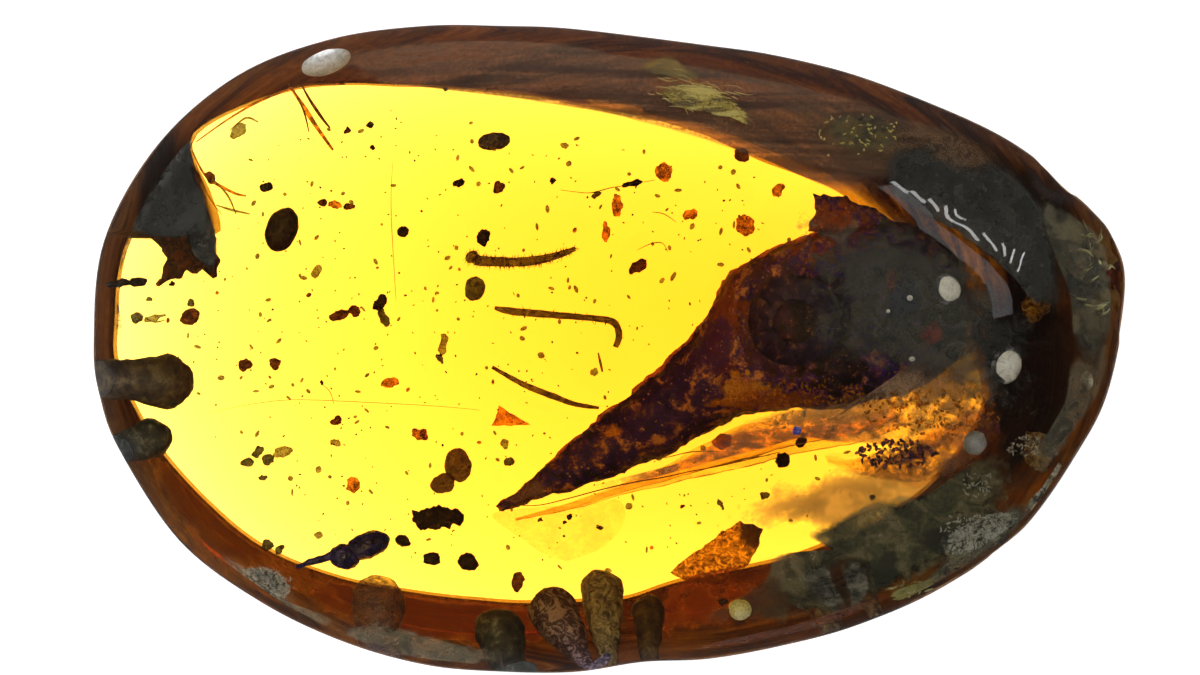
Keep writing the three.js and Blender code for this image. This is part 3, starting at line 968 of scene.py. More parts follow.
@dataclass(frozen=True)
class Crust:
    """The weathered skin of the flank: a thin brown sheet that ends at the polished face, with
    patches of painted shade.
    """

    stone: Stone
    inset: float = 0.05
    thickness: float = 0.04
    rows: int = 22
    finish: Finish = Finish(
        "weathered_flank_and_painted_shade",
        ((0.30, (0.03, 0.022, 0.03)), (0.42, (0.16, 0.095, 0.07)),
         (0.54, (0.46, 0.28, 0.15)), (0.70, (0.85, 0.6, 0.35))),
        size=1.0, stretch=(5.0, 5.0, 0.6), warp=0.8, relief=0.05, rough=(0.35, 0.7),
        grain=(0.6, 0.4, 0.2), grain_size=0.16, grain_share=0.3, tint=(1.0, 0.8, 0.45),
        attribute="flow", clear=0.13, clear_spread=0.13, fade=0.03, fade_clear=0.6,
        outside=(0.42, 0.22, 0.08),
        patches=(
            # The next four patches are painted shade: near-black where the band and the ring past
            # the skull's far side lie in shade.
            Patch((9.0, 4.9, 1.2), (4.0, 1.5, 2.2), (0.012, 0.005, 0.004), 0.95, 0.3, 0.0),
            Patch((11.9, 3.6, 2.2), (2.6, 2.0, 2.8), (0.016, 0.013, 0.012), 0.95, 0.3, 0.0),
            Patch((12.0, -0.6, 1.6), (2.2, 4.0, 2.4), (0.010, 0.007, 0.006), 0.98, 0.25, 0.0),
            Patch((13.6, 0.6, 2.8), (1.2, 1.6, 1.4), (0.08, 0.07, 0.06), 0.8, 0.6, 0.0),
            Patch((14.3, 2.2, 3.4), (0.9, 1.4, 1.6), (0.60, 0.58, 0.40), 0.9, 0.8, 0.2),
            Patch((10.9, -5.2, 2.5), (1.8, 1.0, 1.6), (0.50, 0.55, 0.65), 0.9, 0.7, 0.05),
            Patch((8.6, -6.3, 2.1), (1.2, 0.6, 1.0), (0.45, 0.48, 0.2), 0.9, 0.7, 0.4),
            Patch((2.6, 6.5, 0.7), (2.6, 1.0, 0.8), (0.7, 0.4, 0.08), 0.8, 1.3, 0.3),
            Patch((-6.0, 7.5, 0.6), (5.0, 1.2, 1.4), (0.55, 0.32, 0.18), 0.6, 0.8, 0.15),
            Patch((-10.3, -5.6, 0.5), (3.4, 2.2, 1.4), (0.8, 0.55, 0.26), 0.85, 0.9, 0.6),
            Patch((-4.4, -7.3, 0.6), (4.2, 1.1, 1.1), (0.95, 0.62, 0.16), 0.95, 0.9, 0.75),
            Patch((2.8, -7.1, 0.9), (2.6, 0.9, 1.0), (0.70, 0.40, 0.12), 0.8, 0.9, 0.55),
            Patch((-14.0, -3.6, 0.9), (1.0, 2.6, 2.2), (0.45, 0.40, 0.26), 0.7, 1.0, 0.25),
            Patch((-11.8, -4.8, 0.0), (3.8, 2.8, 1.5), (0.9, 0.7, 0.3), 1.0, 0.5, 0.93),
            Patch((-5.5, -7.4, 0.0), (5.8, 1.9, 1.6), (0.9, 0.6, 0.2), 1.0, 0.8, 0.93),
            Patch((3.0, -7.4, 0.0), (3.2, 1.8, 1.7), (0.8, 0.5, 0.15), 0.95, 0.9, 0.9),
            # Painted shade: the dark wedge at the left end.
            Patch((-12.6, 4.3, 0.9), (1.8, 2.2, 1.4), (0.018, 0.013, 0.012), 0.97, 0.25, 0.0),
        ))

    def build(self) -> bpy.types.Object:
        """Make the sheet, with its streaks following the rim."""
        s = self.stone
        shares = [k / (self.rows - 1) for k in range(self.rows)]
        outer = [s.flank_ring(share, self.inset) for share in shares]
        inner = [s.flank_ring(share, self.inset + self.thickness) for share in reversed(shares)]
        mesh = lofted(outer + inner, loop=True).mesh("flank_crust")
        flow = mesh.attributes.new("flow", "FLOAT_VECTOR", "POINT")
        for i, vertex in enumerate(mesh.vertices):
            angle, far = s.polar(vertex.co.x, vertex.co.y)
            flow.data[i].vector = (9 * math.cos(angle) * MM, 9 * math.sin(angle) * MM,
                                   (far * 0.8 + vertex.co.z) * MM)
        rows = [i // s.spokes for i in range(len(mesh.vertices))]
        mark(mesh, "edge", (min(row, 2 * self.rows - 1 - row) / (self.rows - 1) for row in rows))
        mark(mesh, "outer", (float(row < self.rows) for row in rows))
        return publish("flank_crust", mesh, self.finish)


# ---- the head -------------------------------------------------------------------------------


@dataclass(frozen=True)
class Section:
    """A cut across a bone: top edge, bottom edge and half width; spread leads it outwards."""

    top: Pair
    bottom: Pair
    half: float
    spread: float = 0.0


@dataclass(frozen=True)
class Hollow:
    """A dent in both cheeks: its middle, half sizes, depth and the lip round it."""

    at: Pair
    radii: Pair
    depth: float
    lip: float

    def push(self, x: float, y: float) -> float:
        """How far the surface sinks at a point; below 0 where the lip stands up.

        Args:
            x: the point's place to the right.
            y: its place to the back.

        Returns:
            The depth.
        """
        far = math.hypot((x - self.at[0]) / self.radii[0], (y - self.at[1]) / self.radii[1])
        if far < 1:
            return self.depth * math.sqrt(1 - far ** 3)
        return -self.lip * math.exp(-((far - 1.12) / 0.12) ** 2)


BONE_TONES = (
    (0.36, (0.004, 0.003, 0.4)), (0.45, (0.02, 0.007, 1.0)), (0.51, (0.06, 0.022, 0.9)),
    (0.57, (0.18, 0.075, 0.8)), (0.66, (0.75, 0.40, 0.8)))


@dataclass(frozen=True)
class Head:
    """The skull with its lower jaw, the rings in its eyes and what is left of the neck."""

    middle: float = 3.4       # height of the skull's middle plane at x = 0
    tilt: float = 0.08        # its rise per millimetre towards the back
    splay: float = 0.2        # lean of each cheek per millimetre of x
    skull: tuple[Section, ...] = (
        Section((-3.09, -4.39), (-3.04, -4.48), 0.12),
        Section((-2.49, -3.91), (-2.39, -4.26), 0.3),
        Section((-1.66, -3.17), (-1.33, -3.94), 0.5), Section((-0.8, -2.4), (-0.22, -3.63), 0.7),
        Section((0.03, -1.7), (0.87, -3.16), 0.9), Section((1.05, -0.95), (2.01, -2.63), 1.1),
        Section((1.97, -0.1), (3.0, -2.09), 1.3), Section((2.71, 0.69), (3.85, -1.7), 1.6),
        Section((3.21, 1.47), (4.89, -1.54), 1.95), Section((4.03, 2.2), (6.05, -1.56), 2.3),
        Section((5.19, 2.74), (7.19, -1.49), 2.5), Section((6.51, 3.19), (8.35, -1.24), 2.6),
        Section((7.82, 3.41), (9.39, -0.82), 2.5), Section((8.97, 3.31), (10.12, -0.27), 2.1),
        Section((9.87, 2.8), (10.41, 0.46), 1.4), Section((10.28, 2.16), (10.44, 1.33), 0.6))
    jaw: tuple[Section, ...] = (
        Section((-2.6, -4.72), (-2.55, -4.78), 0.2, 0.0),
        Section((-1.3, -4.32), (-1.25, -4.47), 0.25, 0.1),
        Section((1.0, -3.5), (1.1, -3.78), 0.3, 0.5),
        Section((2.75, -2.65), (2.9, -3.35), 0.3, 1.0),
        Section((4.0, -2.08), (4.2, -3.05), 0.35, 1.4),
        Section((5.6, -1.97), (5.6, -2.7), 0.35, 1.7),
        Section((7.3, -1.9), (7.45, -2.4), 0.3, 1.9),
        Section((8.4, -1.68), (8.55, -1.98), 0.25, 2.0))
    neck: tuple[Section, ...] = (
        Section((6.4, -2.95), (6.5, -3.15), 0.4), Section((7.6, -2.8), (7.8, -3.7), 0.9),
        Section((8.9, -2.4), (9.1, -4.0), 1.2), Section((10.1, -1.5), (10.3, -3.95), 1.15),
        Section((10.9, -1.3), (11.1, -3.3), 0.8), Section((11.4, -1.9), (11.5, -2.6), 0.4))
    hollows: tuple[Hollow, ...] = (
        Hollow((5.5, 0.8), (1.75, 1.55), 0.85, 0.16), Hollow((0.2, -2.1), (0.45, 0.3), 0.3, 0.06),
        Hollow((3.7, -0.8), (0.4, 0.45), 0.35, 0.08), Hollow((8.6, 0.9), (1.1, 1.5), 0.4, 0.08),
        Hollow((2.1, -1.35), (0.3, 0.35), 0.2, 0.05), Hollow((7.4, -0.75), (0.8, 0.3), 0.25, 0.05))
    bone: Finish = Finish(
        "dark_bone", BONE_TONES, size=0.45, warp=0.3, relief=0.10, rough=(0.35, 0.8),
        grain=(1.0, 0.6, 0.8), grain_size=0.13, grain_share=1.3, fade=0.05, fade_clear=0.45,
        tint=(0.9, 0.45, 0.3),
        patches=(
            Patch((5.3, 0.7, 5.2), (2.2, 2.0, 3.0), (0.14, 0.06, 0.12), 0.55, 1.2),
            Patch((6.4, 0.8, 5.2), (1.5, 1.5, 3.0), (0.008, 0.012, 0.16), 0.95, 0.7),
            Patch((6.9, -0.3, 5.2), (1.3, 1.2, 3.0), (0.006, 0.010, 0.10), 0.9, 1.0),
            Patch((5.3, 3.3, 4.4), (2.8, 0.9, 3.0), (0.50, 0.14, 0.10), 0.8, 1.2),
            Patch((3.4, 0.9, 4.2), (0.8, 1.8, 3.0), (0.35, 0.10, 0.10), 0.7, 1.2),
            Patch((1.4, -1.6, 4.0), (2.2, 1.4, 3.0), (0.03, 0.002, 1.0), 0.7, 1.6),
            Patch((3.1, 0.2, 4.4), (0.8, 0.9, 3.0), (0.05, 0.008, 1.0), 0.8, 1.2),
            # Partly painted light: orange tissue in the dents at the nostril and below the eye,
            # painted as bright as the back light that shines through the openings there.
            Patch((0.2, -2.25, 4.2), (0.34, 0.26, 1.2), (1.0, 0.42, 0.2), 1.0, 1.2),
            Patch((3.9, -1.0, 5.0), (0.7, 0.5, 1.5), (1.0, 0.5, 0.3), 0.8, 1.6),
            Patch((4.6, -1.4, 5.4), (1.8, 0.35, 1.8), (0.6, 0.28, 0.2), 0.7, 1.0),
            Patch((9.6, 1.6, 5.0), (2.4, 3.0, 3.0), (0.06, 0.06, 0.3), 0.65, 1.8),
            Patch((9.3, 0.4, 5.0), (0.4, 0.5, 3.0), (0.6, 0.12, 0.15), 0.8, 0.8),
            Patch((-2.3, -4.0, 3.4), (0.8, 0.5, 1.0), (0.30, 0.20, 0.9), 0.8, 0.6),
        ))
    ring: Finish = Finish(
        "eye_plates", ((0.38, (0.005, 0.006, 0.2)), (0.5, (0.016, 0.014, 0.35)),
                       (0.6, (0.07, 0.045, 0.35)), (0.72, (0.3, 0.18, 0.4))), size=0.3,
        relief=0.05, rough=(0.35, 0.7), grain=(0.6, 0.35, 0.5), grain_size=0.12, grain_share=0.6)
    jaw_finish: Finish = Finish(
        "jaw_bone", ((0.3, (0.20, 0.06, 0.10)), (0.5, (0.48, 0.20, 0.16)),
                     (0.7, (0.75, 0.42, 0.20))), size=0.5, stretch=(4, 1, 1), relief=0.02,
        clear=0.88, clear_spread=0.10, tint=(1.0, 0.9, 0.7), fade=0.05, fade_clear=0.35)
    tissue: Finish = Finish(
        "dried_tissue", ((0.34, (0.05, 0.02, 0.4)), (0.43, (0.25, 0.10, 0.4)),
                         (0.52, (0.6, 0.30, 0.2)), (0.66, (0.95, 0.62, 0.35))),
        size=0.35, warp=1.0, relief=0.05, clear=0.55, clear_spread=0.3, tint=(1.0, 0.82, 0.65),
        grain=(0.9, 0.6, 0.3), grain_size=0.14, grain_share=0.6, fade=0.3, fade_clear=0.95,
        patches=(Patch((6.7, -3.0, 4.2), (1.2, 0.7, 2.0), (0.8, 0.5, 0.2), 1.0, 1.2, 0.9),
                 Patch((8.9, -2.9, 4.5), (1.2, 0.55, 2.0), (0.04, 0.01, 0.6), 0.9, 1.4, 0.1),
                 Patch((10.3, -3.3, 4.5), (0.9, 0.8, 2.0), (0.8, 0.5, 1.0), 0.8, 0.9, 0.25)))
    crest: tuple[Pair, ...] = (
        (5.85, 3.1), (6.1, 3.7), (6.0, 4.2), (6.5, 4.12), (7.0, 4.18), (7.15, 3.95),
        (7.9, 3.75), (8.6, 3.3), (7.4, 3.0))
    steps: int = 7            # samples from one cut to the next
    sides: int = 84           # points round each cut of the skull
    jaw_sides: int = 24
    neck_sides: int = 60
    cheek: float = 0.7        # height off the middle plane past which a dent has its full depth
    deepest: float = 0.8      # a dent's greatest share of that height
    plates: int = 14
    ring_outer: float = 1.36
    ring_inner: float = 0.68
    ring_flatten: float = 0.89
    ring_base: float = 1.72

    def plane(self, x: float) -> float:
        """Height of the skull's middle plane."""
        return self.middle + self.tilt * x

    def bone_skin(self, sections: Sequence[Section], side: int = 0, sides: int = 0,
                  square: float = 2.0) -> Skin:
        """A bone through its sections.

        Args:
            sections: the cuts from front to back.
            side: which way its spread leads, or 0.
            sides: points round each cut.
            square: 2 for round cuts, more for fuller ones.

        Returns:
            The closed bone.
        """
        cuts = smooth_path([(*s.top, *s.bottom, s.half, s.spread) for s in sections], self.steps)
        rings = []
        for cut in cuts:
            top, bottom = Vector((cut[0], cut[1], 0)), Vector((cut[2], cut[3], 0))
            centre = (top + bottom) / 2
            centre.z = self.plane(centre.x) + side * cut[5]
            up = (top - bottom) / 2
            ring = []
            count = sides or self.sides
            for i in range(count):
                c, s = math.cos(TURN * i / count), math.sin(TURN * i / count)
                c, s = (math.copysign(abs(v) ** (2 / square), v) for v in (c, s))
                ring.append(centre + up * c + Vector((0, 0, cut[4] * s)))
            rings.append(ring)
        return lofted(rings)

    def build_skull(self) -> bpy.types.Object:
        """Make the skull, with sunken eye sockets and other dents in both cheeks."""
        mesh = self.bone_skin(self.skull, square=2.2).mesh("skull")
        mark(mesh, "edge", (1 - h for h in self.heights(mesh, self.sides)))
        for vertex in mesh.vertices:
            x, y, z = vertex.co
            side = z - self.plane(x)
            cheek = min(1.0, abs(side) / self.cheek)
            sink = sum(h.push(x, y) for h in self.hollows)
            vertex.co.z -= math.copysign(min(sink * cheek, abs(side) * self.deepest), side)
        mesh.update()
        roughen(mesh, 0.9, 0.12, seed=3.1, octaves=5)
        mesh.update()
        roughen(mesh, 0.2, 0.06, seed=7.7, octaves=3)
        crest = slab(self.crest, 4.3, 0.5, crinkle=0.1, ragged=0.12, seed=3.0,
                     round_corners=False).mesh("crest")
        roughen(crest, 0.22, 0.03, seed=2.2)
        mark(crest, "edge", [1.0] * len(crest.vertices))
        merge(mesh, crest)
        return publish("skull_dressed", mesh, self.bone, ("skull",))

    @staticmethod
    def heights(mesh: bpy.types.Mesh, sides: int) -> list[float]:
        """How high each point stands in its cut, from -1 at the bottom to 1 at the top."""
        return [math.cos(TURN * (i % sides) / sides) for i in range(len(mesh.vertices))]

    def build_jaw(self) -> bpy.types.Object:
        """Make both branches of the lower jaw."""
        branches = []
        for side in (1, -1):
            branch = self.bone_skin(self.jaw, side, self.jaw_sides).mesh("lower_jaw")
            mark(branch, "edge", (1 + h for h in self.heights(branch, self.jaw_sides)))
            branches.append(branch)
        mesh = branches[0]
        merge(*branches)
        roughen(mesh, 0.3, 0.03, seed=1.4)
        return publish("lower_jaw_dressed", mesh, self.jaw_finish, ("lower_jaw",))

    def build_neck(self) -> bpy.types.Object:
        """Make the shrivelled tissue behind the jaw."""
        mesh = self.bone_skin(self.neck, sides=self.neck_sides).mesh("neck_tissue")
        mark(mesh, "edge", (1 - abs(h) for h in self.heights(mesh, self.neck_sides)))
        roughen(mesh, 0.8, 0.16, seed=5.2, octaves=5)
        return publish("neck_tissue_dressed", mesh, self.tissue, ("neck_tissue",))

    def build_rings(self) -> None:
        """Make the ring of overlapping plates in each eye."""
        for name, side in (("right", 1), ("left", -1)):
            mesh = plate_ring(self.plates, self.ring_inner, self.ring_outer)
            centre = self.hollows[0].at
            for vertex in mesh.vertices:
                x, y, z = vertex.co
                vertex.co = (centre[0] + x, centre[1] + y * self.ring_flatten,
                             self.plane(centre[0]) + side * (self.ring_base + z + self.splay * x))
            if side < 0:
                mesh.flip_normals()
            roughen(mesh, 0.3, 0.015, seed=2.0)
            publish(f"eye_ring_{name}", mesh, self.ring, (f"scleral_ring_{name}",))

    def build(self) -> None:
        """Make every part of the head."""
        self.build_skull()
        self.build_jaw()
        self.build_rings()
        self.build_neck()


# ---- geometry nodes -------------------------------------------------------------------------


class NodeShop:
    """A Geometry Nodes tree with named inputs, run once on a mesh and turned into a mesh."""

    def __init__(self, name: str, inputs: dict[str, tuple[str, object]]) -> None:
        """Start a tree.

        Args:
            name: the tree's name.
            inputs: name of each input, with its socket kind and value.
        """
        self.tree = bpy.data.node_groups.new(name, "GeometryNodeTree")
        face = self.tree.interface
        face.new_socket("Geometry", in_out="INPUT", socket_type="NodeSocketGeometry")
        face.new_socket("Geometry", in_out="OUTPUT", socket_type="NodeSocketGeometry")
        self.values = {}
        for key, (kind, value) in inputs.items():
            socket = face.new_socket(key, in_out="INPUT", socket_type=f"NodeSocket{kind}")
            self.values[socket.identifier] = value
        self.source = self.tree.nodes.new("NodeGroupInput").outputs
        self.exit = self.tree.nodes.new("NodeGroupOutput")

    def add(self, kind: str, inputs: dict | None = None, **settings: object) -> bpy.types.Node:
        """Add a node.

        Args:
            kind: Blender's name for it.
            inputs: values or links for its inputs, by name or number.
            settings: its own settings.

        Returns:
            The node.
        """
        node = self.tree.nodes.new(f"GeometryNode{kind}" if not kind.startswith("Function")
                                   and not kind.startswith("Shader") else kind)
        for key, value in settings.items():
            setattr(node, key, value)
        for key, value in (inputs or {}).items():
            if isinstance(value, bpy.types.NodeSocket):
                self.tree.links.new(value, node.inputs[key])
            else:
                node.inputs[key].default_value = value
        return node

    def random(self, low: object, high: object, seed: object, vector: bool = True) -> Socket:
        """A random vector or number for each copy.

        Args:
            low: the least value.
            high: the greatest value.
            seed: which series is drawn.
            vector: whether a vector is drawn, not a number.

        Returns:
            The draw's socket.
        """
        node = self.add("FunctionNodeRandomValue",
                        data_type="FLOAT_VECTOR" if vector else "FLOAT")
        first = 0 if vector else 2
        for index, value in ((first, low), (first + 1, high), (8, seed)):
            if isinstance(value, bpy.types.NodeSocket):
                self.tree.links.new(value, node.inputs[index])
            else:
                node.inputs[index].default_value = value
        return node.outputs[0 if vector else 1]

    def finish(self, geometry: Socket) -> None:
        """End the tree in Realize Instances and Set Material.

        Args:
            geometry: the socket of the finished shape.
        """
        real = self.add("RealizeInstances", {"Geometry": geometry})
        dressed = self.add("SetMaterial", {"Geometry": real.outputs[0],
                                           "Material": self.source["Material"]})
        self.tree.links.new(dressed.outputs[0], self.exit.inputs[0])

    def run(self, mesh: bpy.types.Mesh, name: str) -> bpy.types.Mesh:
        """Run the tree once.

        Args:
            mesh: the mesh it starts from, in metres.
            name: the result's name.

        Returns:
            The plain result, in millimetres.
        """
        carrier = bpy.data.objects.new(name, mesh)
        bpy.context.scene.collection.objects.link(carrier)
        modifier = carrier.modifiers.new(name, "NODES")
        modifier.node_group = self.tree
        for identifier, value in self.values.items():
            modifier[identifier] = value
        ready = carrier.evaluated_get(bpy.context.evaluated_depsgraph_get())
        result = bpy.data.meshes.new_from_object(ready)
        result.name = name
        carrier.modifiers.remove(modifier)
        bpy.data.objects.remove(carrier)
        result.transform(Matrix.Scale(1 / MM, 4))
        return result


def plate_ring(count: int, inner: float, outer: float) -> bpy.types.Mesh:
    """A ring of overlapping plates round the origin, facing up, in millimetres.

    Args:
        count: how many plates.
        inner: the ring's inner radius.
        outer: its outer radius.

    Returns:
        The ring's mesh.
    """
    wide = TURN * (inner + outer) / 2 / count * 1.25
    plate = slab(((inner, -wide * 0.36), (inner, wide * 0.36), ((inner + outer) / 2, wide / 2),
                  (outer, wide * 0.6), (outer, -wide * 0.6), ((inner + outer) / 2, -wide / 2)),
                 0.16, 0.12, steps=4)
    for p in plate.points:
        p.z += 0.10 * (p.y / wide) + 0.20 * math.cos((p.x - inner) / (outer - inner) * 2.2)
    shop = NodeShop("eye_plates", {
        "Count": ("Int", count), "Material": ("Material", None)})
    centre = shop.add("MeshLine", {"Count": shop.source["Count"]}, mode="OFFSET")
    centre.inputs["Offset"].default_value = (0, 0, 0)
    points = shop.add("MeshToPoints", {"Mesh": centre.outputs[0]})
    index = shop.add("InputIndex")
    step = shop.add("ShaderNodeMath", {0: TURN, 1: shop.source["Count"]}, operation="DIVIDE")
    turn = shop.add("ShaderNodeMath", {0: index.outputs[0], 1: step.outputs[0]},
                    operation="MULTIPLY")
    spin = shop.add("ShaderNodeCombineXYZ", {"Z": turn.outputs[0]})
    copies = shop.add("InstanceOnPoints", {
        "Points": points.outputs[0], "Instance": shop.source["Geometry"],
        "Rotation": spin.outputs[0]})
    shop.finish(copies.outputs[0])
    mesh = plate.mesh("plate")
    mesh.transform(Matrix.Scale(MM, 4))
    return shop.run(mesh, "eye_ring")


def bristled(mesh: bpy.types.Mesh, length: float, radius: float, density: float, seed: int
             ) -> bpy.types.Mesh:
    """A limb with fine bristles standing on it.

    Args:
        mesh: the limb in millimetres.
        length: the longest bristle.
        radius: a bristle's radius at its root.
        density: bristles per square millimetre.
        seed: where they fall.

    Returns:
        The limb and its bristles in one mesh, in millimetres.
    """
    shop = NodeShop("bristles", {
        "Length": ("Float", length * MM), "Radius": ("Float", radius * MM),
        "Density": ("Float", density / MM ** 2), "Seed": ("Int", seed),
        "Material": ("Material", None)})
    spread = shop.add("DistributePointsOnFaces", {
        "Mesh": shop.source["Geometry"], "Density": shop.source["Density"],
        "Seed": shop.source["Seed"]})
    hair = shop.add("MeshCone", {"Vertices": 5, "Radius Top": 0.0,
                                 "Radius Bottom": shop.source["Radius"],
                                 "Depth": shop.source["Length"]})
    lean = shop.add("FunctionNodeRotateEuler", {
        "Rotation": spread.outputs["Rotation"],
        "Rotate By": shop.random((-0.7, -0.7, 0), (0.7, 0.7, 6), shop.source["Seed"])},
        space="LOCAL")
    copies = shop.add("InstanceOnPoints", {
        "Points": spread.outputs["Points"], "Instance": hair.outputs["Mesh"],
        "Rotation": lean.outputs[0],
        "Scale": shop.random((0.8, 0.8, 0.4), (1.2, 1.2, 1.0), shop.source["Seed"])})
    both = shop.add("JoinGeometry")
    shop.tree.links.new(shop.source["Geometry"], both.inputs[0])
    shop.tree.links.new(copies.outputs[0], both.inputs[0])
    shop.finish(both.outputs[0])
    mesh.transform(Matrix.Scale(MM, 4))
    return shop.run(mesh, "bristled")


def scattered(field: bpy.types.Mesh, density: float, small: Triple, large: Triple, depth: Pair,
              seed: int) -> bpy.types.Mesh:
    """Crumbs strewn through a slice of the stone.

    Args:
        field: a flat mesh in millimetres, over which they fall.
        density: crumbs per square millimetre.
        small: the least half sizes.
        large: the greatest half sizes.
        depth: the lowest and highest place above the field.
        seed: where they fall.

    Returns:
        One mesh of all crumbs, in millimetres.
    """
    shop = NodeShop("crumbs", {
        "Density": ("Float", density / MM ** 2), "Seed": ("Int", seed),
        "Small": ("Vector", tuple(v * MM for v in small)),
        "Large": ("Vector", tuple(v * MM for v in large)), "Material": ("Material", None)})
    spread = shop.add("DistributePointsOnFaces", {
        "Mesh": shop.source["Geometry"], "Density": shop.source["Density"],
        "Seed": shop.source["Seed"]})
    lift = shop.add("SetPosition", {
        "Geometry": spread.outputs["Points"],
        "Offset": shop.random((0, 0, depth[0] * MM), (0, 0, depth[1] * MM), seed + 1)})
    crumb = shop.add("MeshIcoSphere", {"Radius": 1.0, "Subdivisions": 2})
    place = shop.add("InputPosition")
    ruffle = shop.add("ShaderNodeTexNoise", {"Vector": place.outputs[0], "Scale": 1.6})
    shape = shop.add("ShaderNodeVectorMath", {0: place.outputs[0], 1: ruffle.outputs["Color"]},
                     operation="MULTIPLY")
    lumpy = shop.add("SetPosition", {"Geometry": crumb.outputs["Mesh"],
                                     "Offset": shape.outputs[0]})
    copies = shop.add("InstanceOnPoints", {
        "Points": lift.outputs[0], "Instance": lumpy.outputs[0],
        "Rotation": shop.random((0, 0, 0), (TURN, TURN, TURN), seed + 2),
        "Scale": shop.random(shop.source["Small"], shop.source["Large"], seed + 3)})
    shop.finish(copies.outputs[0])
    field = field.copy()
    field.transform(Matrix.Scale(MM, 4))
    return shop.run(field, "crumbs")


# ---- what else the resin holds --------------------------------------------------------------


class Fill(Enum):
    """What a shell boring was filled with."""

    DARK = "dark mud"
    GREEN = "greenish mud"
    NETWORK = "mud with pale veins"
    GREY = "grey crystals"
    BLACK = "black mud"


FILLS: dict[Fill, Finish] = {
    Fill.DARK: Finish("dark_mud", ((0.35, (0.03, 0.02, 0.02)), (0.5, (0.08, 0.055, 0.035)),
                                   (0.68, (0.2, 0.14, 0.07))), size=0.4, relief=0.05),
    Fill.GREEN: Finish("green_mud", ((0.34, (0.06, 0.035, 0.05)), (0.5, (0.2, 0.13, 0.12)),
                                     (0.7, (0.6, 0.45, 0.3))), size=0.35, relief=0.05,
                       clear=0.5, clear_spread=0.3, tint=(0.95, 0.8, 0.55)),
    Fill.NETWORK: Finish("veined_mud", ((0.36, (0.03, 0.018, 0.05)), (0.5, (0.09, 0.05, 0.09)),
                                        (0.58, (0.42, 0.30, 0.40)), (0.75, (0.5, 0.36, 0.3))),
                         size=0.4, warp=2.2, relief=0.07, grain=(0.75, 0.6, 0.5)),
    Fill.GREY: Finish("grey_crystal", ((0.34, (0.05, 0.05, 0.15)), (0.46, (0.2, 0.2, 0.38)),
                                       (0.56, (0.45, 0.44, 0.62)), (0.7, (0.8, 0.78, 0.85))),
                      size=0.3, warp=1.4, relief=0.09, rough=(0.25, 0.6),
                      grain=(0.9, 0.85, 0.9), grain_size=0.14, grain_share=0.7),
    Fill.BLACK: Finish("black_mud", ((0.35, (0.01, 0.01, 0.012)), (0.55, (0.05, 0.05, 0.04)),
                                     (0.7, (0.22, 0.21, 0.16))), size=0.4, relief=0.04),
}


@dataclass(frozen=True)
class Boring:
    """A mud-filled shell boring: from the rim inwards, with its radius at both ends."""

    rim: Triple
    bulb: Triple
    neck: float
    round: float
    fill: Fill


@dataclass(frozen=True)
class Borings:
    """The casts of all shell borings round the rim."""

    stone: Stone
    casts: tuple[Boring, ...] = (
        Boring((-16.0, -0.9, 3.2), (-13.0, -0.95, 3.0), 0.5, 0.78, Fill.DARK),
        Boring((-15.3, -3.2, 3.2), (-13.5, -2.6, 2.8), 0.42, 0.6, Fill.BLACK),
        Boring((-7.1, -9.8, 4.0), (-6.75, -7.35, 3.2), 0.4, 0.82, Fill.GREEN),
        Boring((-2.8, -10.4, 4.5), (-3.2, -8.2, 3.6), 0.5, 0.75, Fill.BLACK),
        Boring((-0.3, -10.1, 5.2), (-1.6, -7.5, 3.6), 0.16, 0.74, Fill.NETWORK),
        Boring((0.0, -10.2, 3.8), (-0.15, -6.75, 3.1), 0.2, 0.6, Fill.GREY),
        Boring((1.3, -10.0, 4.4), (1.2, -7.4, 3.2), 0.2, 0.52, Fill.DARK),
        Boring((7.0, -9.0, 4.8), (5.9, -6.35, 3.2), 0.3, 0.57, Fill.GREY),
        Boring((8.2, -8.4, 4.6), (7.3, -6.2, 3.3), 0.2, 0.4, Fill.GREY))
    sides: int = 48
    shaft_rings: int = 16
    bulb_rings: int = 12

    def build(self) -> None:
        """Make each cast as a club that ends in a round bulb."""
        for number, cast in enumerate(self.casts, 1):
            start, end = Vector(cast.rim), Vector(cast.bulb)
            forward = (end - start).normalized()
            across = forward.cross(Vector((0, 0, 1))).normalized()
            over = across.cross(forward)
            straight = (end - start).length
            widths = (cast.neck, cast.neck * 1.1, 0.5 * cast.neck + 0.4 * cast.round,
                      cast.round * 0.85, cast.round)
            stations = [(straight * k / self.shaft_rings, between(widths, k / self.shaft_rings))
                        for k in range(self.shaft_rings)]
            bends = (math.radians(90 / self.bulb_rings * k) for k in range(self.bulb_rings))
            stations += [(straight + cast.round * math.sin(t), cast.round * math.cos(t))
                         for t in bends]
            rings = [[start + forward * far + size * (across * math.cos(TURN * i / self.sides)
                                                      + over * math.sin(TURN * i / self.sides))
                      for i in range(self.sides)] for far, size in stations]
            mesh = lofted(rings).mesh(f"boring_cast_{number}")
            roughen(mesh, 0.5, 0.07, seed=number * 1.7)
            for vertex in mesh.vertices:
                vertex.co = self.stone.tuck(vertex.co, 0.025)
            mesh.update()
            publish(f"cast_{number}", mesh, FILLS[cast.fill],
                    (f"boring_cast_{number}",))


